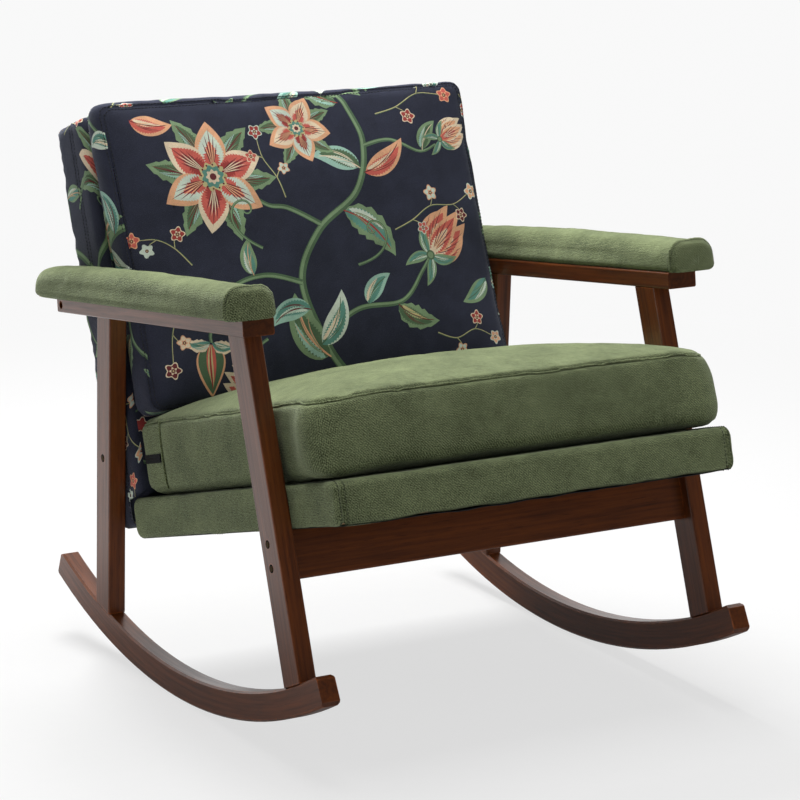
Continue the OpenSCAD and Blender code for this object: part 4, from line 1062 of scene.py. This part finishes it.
# The end panel is a low dome
for number, (d, inset) in enumerate(front):
    if d == 0:
        ring = slice(number * PAD_RING, (number + 1) * PAD_RING)
        laid[ring] = points[ring] + np.array([0, -0.0035 * (1 - (1 - inset / 0.032) ** 2), 0])
seam_ring = front.index((PAD_SEAM, 0.0)) * PAD_RING
cap_seam = dense(laid[seam_ring:seam_ring + PAD_RING], closed=True)
normals = normals_of(laid, faces)
laid = wrinkled(laid, normals, 0.0010, 14.0, 1.7)
laid = sewn(laid, normals, [cap_seam], 0.0030, 0.0020, 0.0006, 0.010, 0.9)
laid[:, 2] = np.maximum(laid[:, 2], -0.0006)
laid[points[:, 2] < 0.0002, 2] = -0.0006
laid[:, 0] = np.maximum(laid[:, 0], -0.0004)
pad_points, pad_faces = laid, faces
for side, name in ((1, "left"), (-1, "right")):
    at = arm_place @ Matrix.Translation((side * 0.2888, PAD_FRONT, PAD_LOW + 0.0002))
    points = pad_points * np.array([side, 1, 1])
    faces = pad_faces if side > 0 else [tuple(reversed(f)) for f in pad_faces]
    pad = new_object("arm_pad_cover_" + name, points, faces, green, at)
    piece(pad, "frame", ("arm_pad_" + name,))


def inset_of(x, y, a, b, r):
    """How far inside a rounded rectangle a point lies."""
    qx, qy = np.abs(x) - (a - r), np.abs(y) - (b - r)
    outside = np.hypot(np.maximum(qx, 0), np.maximum(qy, 0)) + np.minimum(np.maximum(qx, qy), 0)
    return np.maximum(r - outside, 0)


def printed_box(name, box, rows, front, shifts, spacing, least=0.0):
    """A boxed shape in printed cloth: rear panel, boxing and front panel. Rows are the boxing's (inset, z) from the rear
    panel to the front one, front gives the height of the front panel at an inset, and least is the smallest shape printed
    on that panel."""
    table = np.array([box.ring(inset, z, 60, 10) for inset, z in rows])
    all_points, all_faces, all_colours = [], [], []

    def keep(points, faces, colours):
        base = sum(len(p) for p in all_points)
        all_points.append(points)
        all_faces.extend([tuple(v + base for v in f) for f in faces])
        all_colours.extend(colours)

    flat, faces, colours = printed_panel(table[-1][:, :2], shifts[0], spacing, least=least)
    inset = inset_of(flat[:, 0], flat[:, 1], box.a - rows[-1][0], box.b - rows[-1][0], box.r)
    keep(np.column_stack([flat, front(inset)]), faces, colours)
    # The boxing is printed flat, with the length of its rows across it and of its outline along it, and then laid on them
    across = np.concatenate([[0], np.cumsum([math.dist(p, q) for p, q in zip(rows, rows[1:])])])
    loop = np.vstack([table[len(rows) // 2], table[len(rows) // 2][:1]])
    along = np.concatenate([[0], np.cumsum(np.linalg.norm(np.diff(loop, axis=0), axis=1))])
    count = len(along) - 1
    edge = [(u, 0.0) for u in along] + [(u, across[-1]) for u in reversed(along)]
    flat, faces, colours = printed_panel(edge, shifts[1], spacing * 0.6)
    column = np.interp(flat[:, 0], along, np.arange(count + 1))
    row = np.interp(flat[:, 1], across, np.arange(len(rows)))
    i0, j0 = np.minimum(column.astype(int), count - 1), np.minimum(row.astype(int), len(rows) - 2)
    i1 = (i0 + 1) % count
    s, t = (column - i0)[:, None], (row - j0)[:, None]
    lower, upper = (table[j, i0] * (1 - s) + table[j, i1] * s for j in (j0, j0 + 1))
    keep(lower * (1 - t) + upper * t, faces, colours)
    flat, faces, colours = printed_panel(table[0][:, :2], shifts[2], spacing, -1.0)
    keep(np.column_stack([flat, np.full(len(flat), rows[0][1])]), [tuple(reversed(f)) for f in faces], colours)
    mesh = bpy.data.meshes.new(name)
    mesh.from_pydata([tuple(p) for p in np.concatenate(all_points)], [], all_faces)
    layer = mesh.attributes.new("ink", "FLOAT_COLOR", "FACE")
    layer.data.foreach_set("color", np.array([(*c, 1.0) for c in all_colours]).ravel())
    made = bmesh.new()
    made.from_mesh(mesh)
    bmesh.ops.remove_doubles(made, verts=made.verts, dist=0.00025)
    bmesh.ops.delete(made, geom=[v for v in made.verts if not v.link_faces], context="VERTS")
    bmesh.ops.recalc_face_normals(made, faces=made.faces)
    made.to_mesh(mesh)
    made.free()
    thing = bpy.data.objects.new(name, mesh)
    bpy.context.scene.collection.objects.link(thing)
    mesh.materials.append(print_cloth)
    mesh.shade_smooth()
    ink = np.empty(len(mesh.polygons) * 4)
    mesh.attributes["ink"].data.foreach_get("color", ink)
    ink = ink.reshape(-1, 4)
    # The dyes take a little unevenly
    for k, face in enumerate(mesh.polygons):
        spot = face.center
        ink[k, :3] *= 1 + 0.16 * noise.noise(spot * 45) + 0.08 * noise.noise(spot * 260)
    corners = mesh.color_attributes.new("print", "FLOAT_COLOR", "CORNER")
    totals = np.array([p.loop_total for p in mesh.polygons])
    corners.data.foreach_set("color", np.repeat(np.clip(ink, 0, 1), totals, axis=0).ravel())
    mesh.attributes.remove(mesh.attributes["ink"])
    return thing


def points_of(thing):
    """Points and normals of a piece."""
    return np.array([v.co for v in thing.data.vertices]), np.array([v.normal for v in thing.data.vertices])


def set_points(thing, points):
    thing.data.vertices.foreach_set("co", points.ravel())
    thing.data.update()


# Back: a padded frame with a seam round its side. Its rear edge is tight over the frame and its front edge is soft.
BACK_DEEP, SIDE_SEAM, TIGHT, SOFT = 0.088, 0.050, 0.004, 0.012
back_at = back_place @ Matrix.Translation((0, 0.279, 0))
back_box = Boxed(0.2880, 0.2788, BACK_DEEP, 0.0, SOFT, 0.010, swell=0.0, pull=0.0)
turns = np.linspace(0, pi / 2, 6)
rows = [(TIGHT * (1 - sin(t)), TIGHT * (1 - cos(t))) for t in turns]
rows += [(0, z) for z in (0.010, 0.018, 0.026, 0.034, 0.041, 0.045, 0.0475, 0.0490, SIDE_SEAM, 0.0510, 0.0525, 0.055,
                          0.060, 0.068, 0.074)]
rows += [(SOFT * (1 - cos(t)), BACK_DEEP - SOFT + SOFT * sin(t)) for t in turns]
back_cover = printed_box("back_cover", back_box, rows, lambda inset: np.full(len(inset), BACK_DEEP),
                         ((0.11, 0.13), (0.20, 0.05), (-0.06, 0.02)), 0.014, 0.00012)
back_cover.matrix_world = back_at
points, normals = points_of(back_cover)
back_seam = dense(back_box.ring(0, SIDE_SEAM, 84, 10), closed=True)
points = wrinkled(points, normals, 0.0010, 9.0, 4.4)
points = sewn(points, normals, [back_seam], 0.0016, 0.0020, 0.0006, 0.012, 6.1)
points[:, 0] = np.clip(points[:, 0], -0.2883, 0.2883)
# Behind the seat cushion it stays clear of it
move = np.array(seat_place.inverted() @ back_at)
below = (points @ move[:3, :3].T + move[:3, 3])[:, 2] < 0.0006
points[below, 2] = np.minimum(points[below, 2], 0.0506)
set_points(back_cover, points)
piece(back_cover, "frame", ("back_pad", "back_panel"))

# Loose back cushion, which gets thinner towards its top
pillow_at = back_place @ Matrix.Translation((0, 0.34962, 0.0886))
pillow = Boxed(0.281, 0.21038, 0.068, 0.030, 0.015, 0.0136, swell=0.0017)
pillow_skin = swollen_cushion("pillow_sim", Boxed(0.2805, 0.2099, 0.0675, 0.016, 0.015, 0.0136, swell=0.0), 0.024)
TAPER, PILLOW_CROWN = 0.26, 0.098
seat_up = seat_place.to_3x3() @ Vector((0, 0, 1))


def pillow_lay(points):
    """The cushion's own shape: it tapers, and its boxing swells, most along the top and towards the sitter's right."""
    out = pillow_skin.crowned(points, pillow.h, PILLOW_CROWN)
    out[:, 2] = np.maximum(out[:, 2], 0)
    out[:, 2] *= 1 - TAPER * (out[:, 1] + pillow.b) / (2 * pillow.b)
    deep = pillow.h * (1 - TAPER * eased((out[:, 1] + pillow.b) / (2 * pillow.b)))
    belly = np.sin(pi * np.clip(out[:, 2] / deep, 0, 1)) ** 0.8
    top = eased((out[:, 1] - pillow.b + 0.035) / 0.03)
    out[:, 1] += top * belly * (0.0060 - 0.0035 * out[:, 0] / pillow.a)
    edge = eased((np.abs(out[:, 0]) - pillow.a + 0.035) / 0.03)
    out[:, 0] += np.sign(out[:, 0]) * edge * belly * (0.0015 + 0.005 * eased(out[:, 1] / 0.08))
    return out


def rest_on_seat(points, at, gap=0.0012):
    """Points pushed up out of the seat cushion, where the back cushion lies on it."""
    inverse = at.inverted()
    out = points.copy()
    for k in np.nonzero(points[:, 1] < -0.12)[0]:
        spot = at @ Vector(points[k])
        hit = cushion_top.ray_cast(spot + seat_up * 0.2, -seat_up, 0.4)[0]
        if hit is not None:
            lift = (hit - spot).dot(seat_up) + gap
            if lift > 0:
                out[k] = inverse @ (spot + seat_up * lift)
    return out


rows = [s for s in pillow.profile() if s[0] <= pillow.edge + 1e-9 and s[1] <= pillow.h + 1e-9]
pillow_cover = printed_box("back_cushion_cover", pillow, rows,
                           lambda inset: pillow.h + np.array([pillow.rise(i) for i in inset]),
                           ((0.0, 0.0), (0.05, 0.15), (0.1, 0.1)), 0.009)
pillow_cover.matrix_world = pillow_at
set_points(pillow_cover, pillow_lay(points_of(pillow_cover)[0]))
points, normals = points_of(pillow_cover)
front_seam = dense(pillow_lay(pillow.ring(0, pillow.h, 84, 12)), closed=True)
rear_seam = dense(pillow_lay(pillow.ring(0.002, 0.006, 84, 12)), closed=True)
points = wrinkled(points, normals, 0.0018, 8.0, 7.7)
points = sewn(points, normals, [front_seam, rear_seam], 0.0022, 0.0028, 0.0010, 0.020, 3.9)
points[:, 2] = np.maximum(points[:, 2], 0)
set_points(pillow_cover, rest_on_seat(points, pillow_at))
piece(pillow_cover, "back_cushion", ("back_cushion",))


# Topstitching, one row on each side of a seam
def topstitched(name, thing, lines, look, body):
    """Stitches along lines that are laid on a piece."""
    tree = skin_of(thing.data)
    rows = []
    for line in lines:
        found = [tree.find_nearest(Vector(p))[:2] for p in dense(line, 0.0012, closed=True)]
        spots, ups = (np.array(part) for part in zip(*found))
        for _ in range(3):
            ups = (np.roll(ups, 1, 0) + ups + np.roll(ups, -1, 0)) / 3
        rows.append((spots, ups))
    piece(stitches(name, rows, look, thing.matrix_world.copy()), body)


STITCH, PAD_STITCH = 0.0042, 0.0036
lines = [pillow_lay(pillow.ring(inset, z, 84, 12))
         for inset, z in ((STITCH, pillow.h + pillow.rise(STITCH)), (0, pillow.h - STITCH))]
topstitched("back_cushion_stitches", pillow_cover, lines, dark_thread, "back_cushion")
lines = [back_box.ring(0, SIDE_SEAM + way * STITCH, 84, 10) for way in (-1, 1)]
topstitched("back_stitches", back_cover, lines, dark_thread, "frame")
lines = [base_ring(side * (END - BASE_SEAM + way * STITCH), 0) for side in (-1, 1) for way in (-1, 1)]
topstitched("seat_base_stitches", seat_base, lines, green_thread, "frame")
for side, name in ((1, "left"), (-1, "right")):
    lines = [pad_ring(PAD_SEAM + way * PAD_STITCH, 0) * np.array([side, 1, 1]) for way in (-1, 1)]
    topstitched("arm_pad_stitches_" + name, bpy.data.objects["arm_pad_cover_" + name], lines, green_thread, "frame")


# Floor: the camera sees it go over into the pale backdrop
BACKDROP, FLOOR = 0.945, 12.0
floor_look = Look("floor", Roughness=0.9, Specular_IOR_Level=0.1)
where = floor_look.add("Mapping", {"Vector": coordinates(floor_look), "Scale": (1, 1, 0)})
speck = floor_look.level(floor_look.noise(where, 40.0, 3.0), 0.3, 0.7)
floor_look.finish(Base_Color=floor_look.blend(speck, (0.66, 0.66, 0.66), (0.675, 0.675, 0.672)))
away = floor_look.vector("LENGTH", where)
fade = floor_look.level(away, 0.6, 2.4, 0.72, 1.0)
# In the wood's gloss the floor is bright behind the chair and dim before it
in_camera, in_gloss = floor_look.add("LightPath", {}, 0), floor_look.add("LightPath", {}, 3)
depth = floor_look.add("SeparateXYZ", {0: where}, 1)
mirrored = floor_look.level(depth, -1.1, 0.3, 0.05, 0.9)
near = floor_look.level(away, 0.45, 0.9, 0.25, 1.0)
mirrored = floor_look.math("MULTIPLY", mirrored, near)
strength = floor_look.add("Mix", {0: in_gloss, 2: BACKDROP, 3: mirrored})
glow = floor_look.add("Emission", {"Color": (1, 1, 1), "Strength": strength})
glowing = floor_look.math("ADD", floor_look.math("MULTIPLY", fade, in_camera), in_gloss, clamp=True)
mixed = floor_look.add("MixShader", {0: glowing, 1: floor_look.shader.outputs[0], 2: glow})
floor_look.put(floor_look.tree.nodes["Material Output"].inputs["Surface"], mixed)
corners = [(-FLOOR, -FLOOR, 0), (FLOOR, -FLOOR, 0), (FLOOR, FLOOR, 0), (-FLOOR, FLOOR, 0)]
new_object("floor", corners, [(0, 1, 2, 3)], floor_look.material, smooth=False)

# The studio is white where the camera sees it, and dim in front of the chair, where the wood mirrors it
world = bpy.data.worlds.new("studio")
bpy.context.scene.world = world
world.use_nodes = True
studio = Nodes(world.node_tree)
rays = studio.add("LightPath", {}).node.outputs
ahead = studio.vector("DOT_PRODUCT", studio.add("TexCoord", {}), (0.35, -0.93, 0.1))
ambient, mirrored, seen = (studio.add("Background", {0: (1, 1, 1), 1: strength}) for strength in (
    0.25, studio.level(ahead, -0.25, 0.45, BACKDROP, 0.05), BACKDROP))
mixed = studio.add("MixShader", {0: rays["Is Glossy Ray"], 1: ambient, 2: mirrored})
mixed = studio.add("MixShader", {0: rays["Is Camera Ray"], 1: mixed, 2: seen})
studio.put(world.node_tree.nodes["World Output"].inputs["Surface"], mixed)


def lamp(name, at, aim, size, power, in_gloss):
    """A square lamp, which may stay out of the reflections."""
    data = bpy.data.lights.new(name, "AREA")
    data.shape = "RECTANGLE"
    data.size = data.size_y = size
    data.energy = power
    thing = bpy.data.objects.new(name, data)
    thing.location = at
    thing.visible_glossy = in_gloss
    thing.rotation_euler = (Vector(at) - Vector(aim)).to_track_quat("Z", "Y").to_euler()
    bpy.context.scene.collection.objects.link(thing)


lamp("back_light", (0.2, 1.65, 2.35), (0, 0, 0.35), 1.1, 116, False)
lamp("top_light", (0.0, 0.0, 2.9), (0, 0, 0.35), 1.6, 46, True)
lamp("side_light", (1.45, -1.25, 0.45), (0.3, -0.35, 0.15), 0.5, 3, False)
